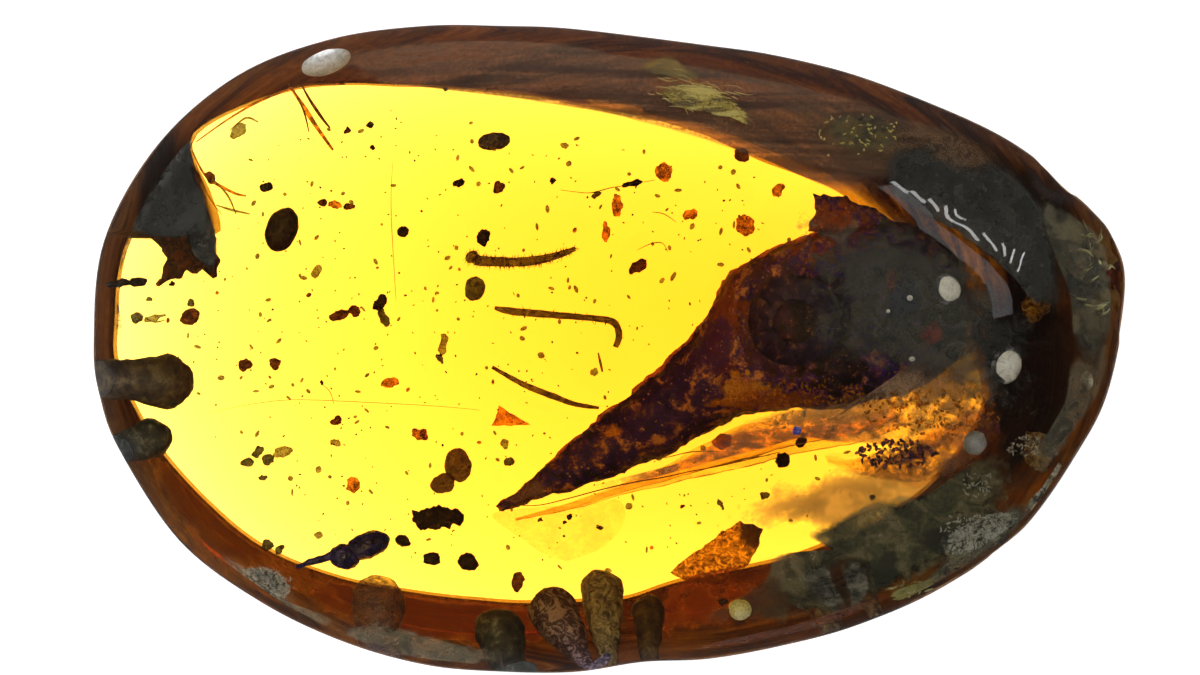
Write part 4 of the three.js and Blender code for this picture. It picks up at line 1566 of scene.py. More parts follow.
@dataclass(frozen=True)
class Lumps:
    """Crumbly pale mineral in old cracks near the rim."""

    places: tuple[tuple[Triple, Triple], ...] = (
        ((12.5, -2.8, 3.2), (0.45, 0.6, 0.5)), ((10.9, -4.8, 3.1), (0.65, 0.42, 0.45)),
        ((9.0, -5.8, 3.1), (0.4, 0.4, 0.4)), ((12.4, 1.3, 3.2), (0.35, 0.45, 0.4)))
    golden: Finish = replace(
        FILLS[Fill.GREY], name="golden_crystal",
        tones=((0.36, (0.03, 0.02, 0.02)), (0.5, (0.4, 0.31, 0.12)), (0.6, (1.0, 0.85, 0.35))))

    def build(self) -> None:
        """Make each lump."""
        for number, (at, radii) in enumerate(self.places, 1):
            mesh = ball(at, [0.93 * r for r in radii], detail=5).mesh(f"mineral_lump_{number}")
            roughen(mesh, 0.32, 0.14, seed=number * 3.3, octaves=3)
            finish = self.golden if number == 4 else FILLS[Fill.GREY]
            publish(f"mineral_{number}", mesh, finish,
                    (f"mineral_lump_{number}",))


@dataclass(frozen=True)
class Limbs:
    """Loose insect legs, one bristled, one bent and one slender."""

    finish: Finish = Finish(
        "leg_shell", ((0.35, (0.10, 0.06, 0.02)), (0.5, (0.28, 0.17, 0.05)),
                      (0.65, (0.5, 0.33, 0.10))), size=0.2, relief=0.01, clear=0.4,
        clear_spread=0.25, tint=(0.5, 0.46, 0.4))
    paths: tuple[tuple[tuple[Triple, ...], tuple[float, ...], float], ...] = (
        (((-3.7, 2.45, 3.0), (-2.9, 2.4, 3.1), (-2.1, 2.4, 3.1), (-1.4, 2.5, 3.0),
          (-0.8, 2.65, 2.9)), (0.14, 0.13, 0.12, 0.10, 0.06), 110),
        (((-3.1, 1.2, 2.9), (-2.6, 1.1, 3.0), (-1.4, 1.0, 3.1), (-0.2, 0.9, 3.1),
          (0.35, 0.8, 3.0), (0.5, 0.5, 3.0), (0.4, 0.15, 3.0)),
         (0.05, 0.11, 0.10, 0.09, 0.09, 0.10, 0.08), 14),
        (((-3.2, -0.4, 3.0), (-2.3, -0.9, 3.1), (-1.4, -1.2, 3.0), (-0.8, -1.4, 2.9),
          (-0.1, -1.5, 2.9)), (0.05, 0.08, 0.09, 0.07, 0.04), 6))
    bristle_length: float = 0.16
    bristle_radius: float = 0.012
    splinter: tuple[Triple, Triple] = ((-0.1, 0.0, 3.1), (0.0, -0.5, 3.1))

    def build(self) -> None:
        """Make the three legs and the splinter beside them."""
        for number, (path, radii, bristles) in enumerate(self.paths, 1):
            limb = tube(smooth_path(path, 14), radii, 14)
            if number == 1:
                limb.join(ball((-3.8, 2.55, 3.0), (0.2, 0.16, 0.15), 30, 3))
            mesh = limb.mesh(f"insect_leg_{number}")
            roughen(mesh, 0.2, 0.012, seed=number)
            mesh = bristled(mesh, self.bristle_length, self.bristle_radius, bristles, number)
            publish(f"leg_{number}", mesh, self.finish, (f"insect_leg_{number}",))
        line = smooth_path([self.splinter[0], Vector(self.splinter[0]).lerp(
            Vector(self.splinter[1]), 0.5), self.splinter[1]], 6)
        publish("splinter", tube(line, (0.02, 0.04, 0.03), 8).mesh("splinter"), self.finish)


@dataclass(frozen=True)
class Scraps:
    """Flakes of leaf, husk and bark."""

    leaf_outline: tuple[Pair, ...] = (
        (1.9, -6.2), (2.5, -5.7), (3.3, -5.05), (3.9, -4.7), (4.6, -4.9), (4.3, -5.8),
        (3.4, -6.5), (2.5, -6.5))
    husk_outline: tuple[Pair, ...] = ((-3.0, -1.5), (-3.25, -2.05), (-2.1, -2.0))
    height: float = 3.0
    bark_outline: tuple[Pair, ...] = (
        (-13.6, 3.3), (-13.0, 3.6), (-12.1, 3.4), (-11.6, 3.3), (-11.4, 2.7), (-11.5, 2.0),
        (-12.0, 2.4), (-12.6, 2.1), (-13.2, 1.9), (-13.1, 2.8))
    leaf: Finish = Finish(
        "dry_leaf", ((0.34, (0.20, 0.05, 0.01)), (0.44, (0.5, 0.17, 0.015)),
                     (0.56, (0.80, 0.38, 0.04)), (0.72, (0.95, 0.6, 0.15))),
        size=0.25, warp=2.2, relief=0.08, clear=0.45, clear_spread=0.35, tint=(1.0, 0.72, 0.3),
        patches=(Patch((4.25, -5.0, 3.2), (0.45, 0.75, 0.8), (0.12, 0.06, 0.2), 0.95, 0.3, 0.1),))
    husk: Finish = Finish(
        "seed_husk", ((0.35, (0.55, 0.15, 0.01)), (0.6, (0.95, 0.40, 0.02))), size=0.3,
        clear=0.6, clear_spread=0.3, tint=(1.0, 0.62, 0.15))
    bark: Finish = Finish(
        "bark", ((0.34, (0.010, 0.006, 0.006)), (0.5, (0.04, 0.018, 0.014)),
                 (0.66, (0.22, 0.07, 0.03))), size=0.3, warp=1.5, relief=0.08, clear=0.04,
        clear_spread=0.04, tint=(1.0, 0.5, 0.1))

    def build(self) -> None:
        """Make the three flakes."""
        for name, outline, finish, thickness, crinkle, ragged in (
                ("leaf_scrap", self.leaf_outline, self.leaf, 0.34, 0.10, 0.10),
                ("seed_husk", self.husk_outline, self.husk, 0.2, 0.05, 0.05),
                ("bark_scrap", self.bark_outline, self.bark, 0.4, 0.08, 0.22)):
            flake = slab(outline, self.height, thickness, crinkle, ragged, steps=12, seed=2.3,
                         round_corners=False)
            mesh = flake.mesh(name)
            roughen(mesh, 0.25, 0.03, seed=4.4)
            publish(f"{name}_dressed", mesh, finish, (name,))


class Dirt(Enum):
    """What a crumb is made of."""

    DARK = "dark pellet"
    RED = "red-brown crumb"
    ORANGE = "orange flake"
    TAN = "tan flake"
    OLIVE = "olive crumb"
    VIOLET = "violet crumb"
    BLUE = "blue-grey crumb"
    BROWN = "brown see-through lump"


DIRT: dict[Dirt, Finish] = {
    Dirt.DARK: Finish("dark_pellet", ((0.35, (0.010, 0.007, 0.012)), (0.6, (0.045, 0.025, 0.03)),
                                      (0.8, (0.12, 0.07, 0.05))), size=0.16, relief=0.02),
    Dirt.RED: Finish("red_crumb", ((0.35, (0.07, 0.022, 0.010)), (0.65, (0.26, 0.09, 0.03))),
                     size=0.16, relief=0.02, clear=0.25, clear_spread=0.2,
                     tint=(0.6, 0.35, 0.2)),
    Dirt.ORANGE: Finish("orange_flake", ((0.38, (0.20, 0.07, 0.01)), (0.6, (0.75, 0.36, 0.04))),
                        size=0.2, relief=0.02, clear=0.45, clear_spread=0.3,
                        tint=(1, 0.62, 0.2)),
    Dirt.TAN: Finish("tan_flake", ((0.35, (0.30, 0.16, 0.03)), (0.65, (0.6, 0.38, 0.06))),
                     size=0.2, relief=0.02, clear=0.6, clear_spread=0.2, tint=(0.6, 0.62, 0.5)),
    Dirt.OLIVE: Finish("olive_crumb", ((0.35, (0.08, 0.06, 0.02)), (0.65, (0.25, 0.19, 0.05))),
                       size=0.2, relief=0.02, clear=0.45, clear_spread=0.2,
                       tint=(0.4, 0.42, 0.4)),
    Dirt.VIOLET: Finish("violet_crumb", ((0.38, (0.012, 0.004, 0.03)), (0.5, (0.06, 0.02, 0.09)),
                                         (0.62, (0.3, 0.12, 0.2))), size=0.14, relief=0.03,
                        clear=0.25, clear_spread=0.25, tint=(0.8, 0.5, 0.6)),
    Dirt.BLUE: Finish("blue_crumb", ((0.38, (0.03, 0.03, 0.45)), (0.55, (0.10, 0.10, 0.6)),
                                     (0.66, (0.4, 0.38, 0.8))), size=0.14, relief=0.03),
    Dirt.BROWN: Finish("brown_lump", ((0.35, (0.10, 0.05, 0.02)), (0.65, (0.32, 0.17, 0.05))),
                       size=0.3, relief=0.02, clear=0.45, clear_spread=0.2,
                       tint=(0.4, 0.33, 0.3)),
}


@dataclass(frozen=True)
class Egg:
    """A round lump: middle, half sizes and a turn about Z in degrees."""

    at: Triple
    radii: Triple
    turn: float = 0.0


@dataclass(frozen=True)
class Pellets:
    """The larger lumps of dirt, each sealed in its own pocket."""

    lumps: tuple[tuple[str, Dirt, float, tuple[Egg, ...]], ...] = (
        ("dirt_ball", Dirt.OLIVE, 0.06, (Egg((-3.7, 1.7, 3.0), (0.33, 0.33, 0.33)),)),
        ("dark_chunk", Dirt.DARK, 0.16, (Egg((-4.9, -4.75, 3.0), (0.78, 0.32, 0.35), 4),)),
        ("double_pellet", Dirt.BROWN, 0.06, (
            Egg((-4.25, -3.2, 3.0), (0.4, 0.52, 0.38), 10),
            Egg((-4.7, -3.75, 3.0), (0.4, 0.3, 0.33), 20))),
        ("pellet_1", Dirt.DARK, 0.03, (Egg((-9.5, 3.4, 3.1), (0.5, 0.68, 0.42), -25),)),
        ("pellet_2", Dirt.BLUE, 0.05, (Egg((-3.3, 5.6, 3.0), (0.48, 0.25, 0.25)),)))

    def build(self) -> None:
        """Make each lump."""
        for number, (name, dirt, depth, eggs) in enumerate(self.lumps):
            skin = Skin().join(*(ball(e.at, [0.96 * r for r in e.radii], e.turn) for e in eggs))
            mesh = skin.mesh(name)
            roughen(mesh, 0.2 if depth > 0.1 else 0.35, depth, seed=number * 2.1 + 1)
            publish(f"{name}_dressed", mesh, DIRT[dirt], (name,))


@dataclass(frozen=True)
class Beetle:
    """A blue-black insect, curled, with a stalk of debris behind it."""

    body: tuple[Egg, ...] = (
        Egg((-7.0, -5.6, 3.0), (0.70, 0.38, 0.38), 20),
        Egg((-7.7, -5.95, 2.95), (0.46, 0.38, 0.36)))
    stalk: tuple[Triple, ...] = ((-9.2, -6.3, 3.0), (-8.6, -6.1, 3.0), (-7.9, -5.85, 3.0))
    shell: Finish = Finish(
        "insect_shell", ((0.35, (0.006, 0.007, 0.2)), (0.55, (0.018, 0.026, 0.6)),
                         (0.7, (0.10, 0.09, 1.0))), size=0.3, relief=0.03, rough=(0.15, 0.45))

    def build(self) -> None:
        """Make the insect in one piece."""
        skin = Skin().join(*(ball(e.at, e.radii, e.turn, 5) for e in self.body))
        skin.join(tube(smooth_path(self.stalk, 10), (0.06, 0.1, 0.13), 14))
        mesh = skin.mesh("beetle")
        roughen(mesh, 0.3, 0.04, seed=9.0)
        publish("beetle_dressed", mesh, self.shell, ("beetle",))


@dataclass(frozen=True)
class Fleck:
    """A small crumb: frame column and row, half sizes, turn and height.

    A height below 0 is a depth under the dome.
    """

    column: float
    row: float
    long: float
    wide: float
    turn: float = 0.0
    z: float = 3.1


@dataclass(frozen=True)
class Flecks:
    """Small crumbs at their own places, joined by kind, and fine dust strewn between."""

    stone: Stone
    crumbs: tuple[tuple[Dirt, tuple[Fleck, ...]], ...] = (
        (Dirt.DARK, (
            Fleck(267, 187, 0.2, 0.15, 20), Fleck(403, 232, 0.18, 0.17),
            Fleck(483, 237, 0.2, 0.19), Fleck(459, 183, 0.14, 0.13), Fleck(322, 382, 0.08, 0.08),
            Fleck(403, 541, 0.22, 0.18), Fleck(432, 559, 0.26, 0.2), Fleck(468, 562, 0.3, 0.26),
            Fleck(783, 460, 0.22, 0.22), Fleck(800, 442, 0.16, 0.14, 0, 3.6),
            Fleck(370, 125, 0.1, 0.09), Fleck(446, 89, 0.1, 0.08), Fleck(372, 148, 0.06, 0.06),
            Fleck(380, 303, 0.26, 0.16, 40), Fleck(570, 517, 0.09, 0.09),
            Fleck(565, 522, 0.06, 0.06), Fleck(872, 497, 0.1, 0.09), Fleck(723, 601, 0.14, 0.1),
            Fleck(632, 184, 0.3, 0.07, 10), Fleck(553, 182, 0.08, 0.1),
            Fleck(120, 283, 0.5, 0.1, 4), Fleck(137, 282, 0.3, 0.14, 0),
            Fleck(172, 284, 0.09, 0.06))),
        (Dirt.RED, (
            Fleck(499, 187, 0.14, 0.13), Fleck(245, 365, 0.19, 0.17),
            Fleck(275, 364, 0.18, 0.17), Fleck(336, 421, 0.16, 0.13, 30),
            Fleck(637, 266, 0.24, 0.14, 15), Fleck(518, 582, 0.17, 0.28, -15),
            Fleck(190, 317, 0.3, 0.24, 20), Fleck(347, 130, 0.09, 0.1),
            Fleck(340, 315, 0.3, 0.14, 15), Fleck(355, 311, 0.14, 0.2, 60),
            Fleck(742, 155, 0.22, 0.18), Fleck(322, 203, 0.16, 0.09),
            Fleck(349, 206, 0.16, 0.09), Fleck(210, 178, 0.24, 0.14, -50),
            Fleck(540, 520, 0.09, 0.07), Fleck(683, 506, 0.1, 0.06),
            Fleck(168, 270, 0.3, 0.16, 60), Fleck(176, 256, 0.34, 0.2, 30),
            Fleck(186, 262, 0.2, 0.14), Fleck(160, 282, 0.12, 0.08, 50),
            Fleck(186, 232, 0.3, 0.2, 70))),
        (Dirt.ORANGE, (
            Fleck(420, 434, 0.26, 0.16, 10), Fleck(390, 383, 0.28, 0.12, 10),
            Fleck(664, 172, 0.25, 0.28), Fleck(745, 225, 0.26, 0.28, 40),
            Fleck(778, 190, 0.22, 0.14, 35), Fleck(617, 205, 0.14, 0.3, 5),
            Fleck(606, 231, 0.1, 0.28, 10), Fleck(690, 215, 0.24, 0.14, 15),
            Fleck(353, 485, 0.2, 0.24), Fleck(424, 434, 0.12, 0.14),
            Fleck(335, 205, 0.22, 0.11, -8), Fleck(723, 441, 0.28, 0.22, 20, 4.4),
            Fleck(885, 522, 0.16, 0.1))),
        (Dirt.TAN, (
            Fleck(335, 443, 0.16, 0.08), Fleck(283, 452, 0.3, 0.16, 10),
            Fleck(443, 346, 0.12, 0.3, -10), Fleck(317, 272, 0.2, 0.12, 40),
            Fleck(238, 131, 0.28, 0.2, 40), Fleck(318, 535, 0.16, 0.1),
            Fleck(595, 372, 0.1, 0.1), Fleck(505, 443, 0.12, 0.16), Fleck(565, 145, 0.12, 0.09),
            Fleck(155, 318, 0.34, 0.08, 12))),
        (Dirt.OLIVE, (
            Fleck(137, 318, 0.2, 0.16), Fleck(384, 318, 0.12, 0.28, 20),
            Fleck(258, 452, 0.2, 0.14, 60), Fleck(248, 462, 0.22, 0.12, 10),
            Fleck(268, 460, 0.2, 0.14), Fleck(262, 478, 0.14, 0.1),
            Fleck(440, 358, 0.1, 0.16, 40), Fleck(268, 545, 0.2, 0.14),
            Fleck(280, 549, 0.16, 0.12, 40), Fleck(600, 527, 0.09, 0.06),
            Fleck(510, 462, 0.14, 0.09), Fleck(764, 496, 0.14, 0.12),
            Fleck(720, 504, 0.06, 0.18, 30), Fleck(660, 418, 0.08, 0.08),
            Fleck(596, 195, 0.16, 0.07, 20), Fleck(148, 300, 0.1, 0.06),
            Fleck(192, 303, 0.12, 0.1))),
        (Dirt.BLUE, (
            Fleck(797, 430, 0.14, 0.11, 30, -0.3),)))
    dust: tuple[tuple[Dirt, float, float, float, int], ...] = (
        (Dirt.DARK, 0.35, 0.010, 0.028, 3), (Dirt.RED, 0.12, 0.012, 0.03, 11),
        (Dirt.ORANGE, 0.04, 0.03, 0.06, 23), (Dirt.OLIVE, 1.8, 0.008, 0.032, 31),
        (Dirt.TAN, 0.8, 0.02, 0.08, 47))    # kind, density, half sizes from and to, seed
    dust_reach: float = 0.93
    dust_heights: Pair = (1.6, 4.4)

    def build(self) -> None:
        """Make one piece for each kind of crumb, and one for each kind of dust."""
        for dirt, crumbs in self.crumbs:
            skin = Skin()
            for f in crumbs:
                at = (self.stone.below(f.column, f.row, -f.z) if f.z < 0
                      else self.stone.behind(f.column, f.row, f.z))
                skin.join(ball(at, (f.long, f.wide, 0.7 * min(f.long, f.wide)), f.turn, 3))
            mesh = skin.mesh(f"crumbs_{dirt.name}")
            roughen(mesh, 0.16, 0.07, seed=6.0, octaves=3)
            publish(f"crumbs_{dirt.name.lower()}", mesh, DIRT[dirt])
        edge = self.stone.level(
            lambda a: (self.dust_reach * self.stone.window.distance(a), 0.0))[::6]
        field = bpy.data.meshes.new("dust_field")
        field.from_pydata([tuple(p) for p in edge], [], [tuple(range(len(edge)))])
        for dirt, density, small, large, seed in self.dust:
            mesh = scattered(field, density, (small,) * 3, (large, large, 0.5 * large),
                             self.dust_heights, seed)
            publish(f"dust_{dirt.name.lower()}", mesh, DIRT[dirt])


@dataclass(frozen=True)
class Strand:
    """A hair or hairline crack: frame places from end to end, radius and kind."""

    places: tuple[Pair, ...]
    radius: float
    dirt: Dirt
    z: float = 3.2


@dataclass(frozen=True)
class Strands:
    """Fine hairs and hairline cracks."""

    stone: Stone
    lines: tuple[Strand, ...] = (
        Strand(((393, 160), (391, 200), (393, 250), (396, 300)), 0.012, Dirt.TAN),
        Strand(((560, 190), (590, 193), (615, 187), (655, 180)), 0.014, Dirt.DARK),
        Strand(((288, 84), (302, 104), (316, 126), (333, 150)), 0.07, Dirt.ORANGE),
        Strand(((300, 82), (310, 100), (322, 118), (330, 128)), 0.05, Dirt.RED),
        Strand(((294, 90), (304, 112), (309, 132)), 0.03, Dirt.RED),
        Strand(((196, 142), (230, 118), (262, 100), (300, 86), (345, 84)), 0.05, Dirt.ORANGE),
        Strand(((230, 130), (246, 118), (258, 122)), 0.04, Dirt.TAN),
        Strand(((192, 150), (206, 176), (232, 192), (246, 196)), 0.05, Dirt.ORANGE),
        Strand(((216, 205), (232, 210), (250, 214)), 0.04, Dirt.TAN),
        Strand(((214, 180), (228, 196), (236, 214)), 0.035, Dirt.TAN),
        Strand(((190, 150), (199, 185), (208, 225), (215, 275)), 0.035, Dirt.RED),
        Strand(((196, 165), (208, 195), (222, 215)), 0.02, Dirt.ORANGE),
        Strand(((322, 384), (330, 392), (334, 404)), 0.012, Dirt.DARK),
        Strand(((637, 250), (650, 244), (662, 243), (668, 252)), 0.014, Dirt.OLIVE),
        Strand(((652, 212), (664, 214), (676, 222)), 0.016, Dirt.TAN),
        Strand(((210, 412), (290, 400), (400, 404), (480, 410)), 0.010, Dirt.TAN),
        Strand(((145, 318), (155, 322), (165, 320)), 0.03, Dirt.TAN),
        Strand(((502, 503), (540, 505), (600, 490), (660, 478), (720, 466), (780, 452)), 0.02,
               Dirt.RED, 3.9),
        Strand(((700, 470), (740, 460), (770, 455)), 0.02, Dirt.TAN, 3.6),
        Strand(((640, 462), (690, 452), (730, 452)), 0.02, Dirt.TAN, 3.9),
        Strand(((548, 262), (556, 256), (562, 250)), 0.02, Dirt.OLIVE))

    def build(self) -> None:
        """Make one piece for each kind of strand."""
        for dirt in Dirt:
            lines = [s for s in self.lines if s.dirt is dirt]
            if not lines:
                continue
            skin = Skin()
            for s in lines:
                path = smooth_path([self.stone.behind(*p, s.z) for p in s.places], 12)
                skin.join(tube(path, (s.radius * 0.4, s.radius, s.radius * 0.5), 6))
            publish(f"strands_{dirt.name.lower()}", skin.mesh("strands"), DIRT[dirt])


@dataclass(frozen=True)
class Bubble:
    """A bubble near the dome, as a pale ball with a painted reflection: frame place, half sizes,
    turn, depth under the skin.
    """

    column: float
    row: float
    long: float
    wide: float
    turn: float = 0.0
    under: float = 0.25


@dataclass(frozen=True)
class Bubbles:
    """Pale balls just under the dome: the bubbles' silvery look is a painted reflection of the
    light from above.
    """

    stone: Stone
    places: tuple[Bubble, ...] = (
        Bubble(945, 290, 0.48, 0.48), Bubble(1003, 364, 0.58, 0.6), Bubble(326, 62, 0.76, 0.46, 18),
        Bubble(975, 443, 0.36, 0.36, 0, 0.12), Bubble(1087, 381, 0.2, 0.28, 0, 0.25),
        Bubble(740, 610, 0.34, 0.34, 0, 0.15), Bubble(910, 298, 0.08, 0.08),
        Bubble(912, 359, 0.1, 0.08), Bubble(888, 311, 0.07, 0.06))
    # Painted reflection: pale grey to near-white for light from above mirrored in the bubbles,
    # yellower at one and dimmer at another.
    finish: Finish = Finish(
        "bubble_painted_reflection", ((0.3, (0.42, 0.42, 0.42)), (0.5, (0.72, 0.72, 0.70)),
                           (0.7, (0.92, 0.92, 0.90))), size=0.35, warp=1.2, relief=0.02,
        rough=(0.2, 0.5), shine=0.6, patches=(
            Patch((3.9, -7.7, 2.5), (1.2, 1.2, 6.0), (0.62, 0.52, 0.10), 1.0, 0.1),
            Patch((10.9, -2.8, 4.0), (0.8, 0.8, 6.0), (0.17, 0.155, 0.12), 0.9, 0.2)))

    def build(self) -> bpy.types.Object:
        """Make all of them in one piece."""
        skin = Skin()
        for b in self.places:
            flat = 0.45 * min(b.long, b.wide)
            at = self.stone.below(b.column, b.row, b.under + flat)
            skin.join(ball(at, (b.long, b.wide, flat), b.turn, 4))
        mesh = skin.mesh("bubbles_painted_reflection")
        roughen(mesh, 0.5, 0.02, seed=1.0)
        return publish("bubbles_painted_reflection", mesh, self.finish)


@dataclass(frozen=True)
class Sheet:
    """A layer just under the dome, cloudy or crusty, or a painted shadow or reflection: its outline
    in the frame and its depth.
    """

    name: str
    places: tuple[Pair, ...]
    finish: Finish
    under: float = 0.3
    thickness: float = 0.08
    slot: Slot = Slot.MUD


# Painted shade and a painted reflection: a dark grey veil over the back of the skull, where the far
# side lies in shade and the softbox mirrors in the dome. The skull's own blue and red show in its
# first three patches; the last, near black, is painted shade past the skull.
HAZE_PAINTED_SHADE_AND_REFLECTION = Finish(
    "haze", ((0.36, (0.008, 0.010, 0.012)), (0.5, (0.042, 0.042, 0.038)),
             (0.66, (0.12, 0.11, 0.09))),
    size=0.55, warp=0.9, relief=0.0, clear=0.24, clear_spread=0.25, fade=0.4, fade_clear=0.99,
    tint=(0.7, 0.7, 0.9),
    patches=(Patch((8.8, 1.45, 4), (0.7, 0.8, 9), (0.014, 0.022, 0.045), 0.85, 0.9),
             Patch((9.6, 0.45, 4), (0.4, 0.4, 9), (0.16, 0.035, 0.03), 0.9, 0.8),
             Patch((8.4, 2.0, 4), (0.25, 0.4, 9), (0.14, 0.045, 0.035), 0.8, 0.9),
             Patch((12.1, 0.2, 4), (1.5, 3.4, 9), (0.004, 0.004, 0.004), 0.97, 0.5, 0.03)))
CRYSTAL = Finish(
    "rim_crystal", ((0.40, (0.02, 0.02, 0.012)), (0.46, (0.18, 0.17, 0.11)),
                    (0.52, (0.48, 0.46, 0.33)), (0.58, (1.0, 0.97, 0.82))), size=0.3, warp=1.8,
    relief=0.12, rough=(0.25, 0.6), grain=(0.95, 0.95, 0.8), grain_size=0.12, grain_share=1.3,
    clear=0.3, clear_spread=0.3, fade=0.18, fade_clear=0.97)
RIM_FILM = Finish(
    "rim_film", ((0.36, (0.035, 0.03, 0.02)), (0.5, (0.12, 0.105, 0.07)),
                 (0.64, (0.32, 0.28, 0.2))), size=0.7, warp=1.2, relief=0.0, clear=0.4,
    clear_spread=0.35, fade=0.28, fade_clear=0.99, tint=(1, 0.95, 0.85))
SIDE_FILM = replace(RIM_FILM, name="side_film", tones=(
    (0.36, (0.08, 0.065, 0.04)), (0.5, (0.24, 0.205, 0.13)), (0.64, (0.5, 0.45, 0.32))))
# Painted shadow: near-black sheets under the dome where the stone lies in shade, past the skull's
# far side and at the left end.
SHADOW = Finish(
    "painted_shadow_film", ((0.38, (0.006, 0.006, 0.006)), (0.5, (0.022, 0.022, 0.02)),
                  (0.64, (0.06, 0.06, 0.055))), size=0.9, warp=0.8, relief=0.0, clear=0.15,
    clear_spread=0.15, fade=0.12, fade_clear=0.98)
PALE_MUD = Finish(
    "pale_mud", ((0.42, (0.02, 0.02, 0.015)), (0.52, (0.10, 0.095, 0.07)),
                 (0.62, (0.36, 0.34, 0.26))), size=0.5, stretch=(1, 0.5, 1), warp=0.7, relief=0.03,
    clear=0.35, clear_spread=0.25, fade=0.3, fade_clear=0.98)


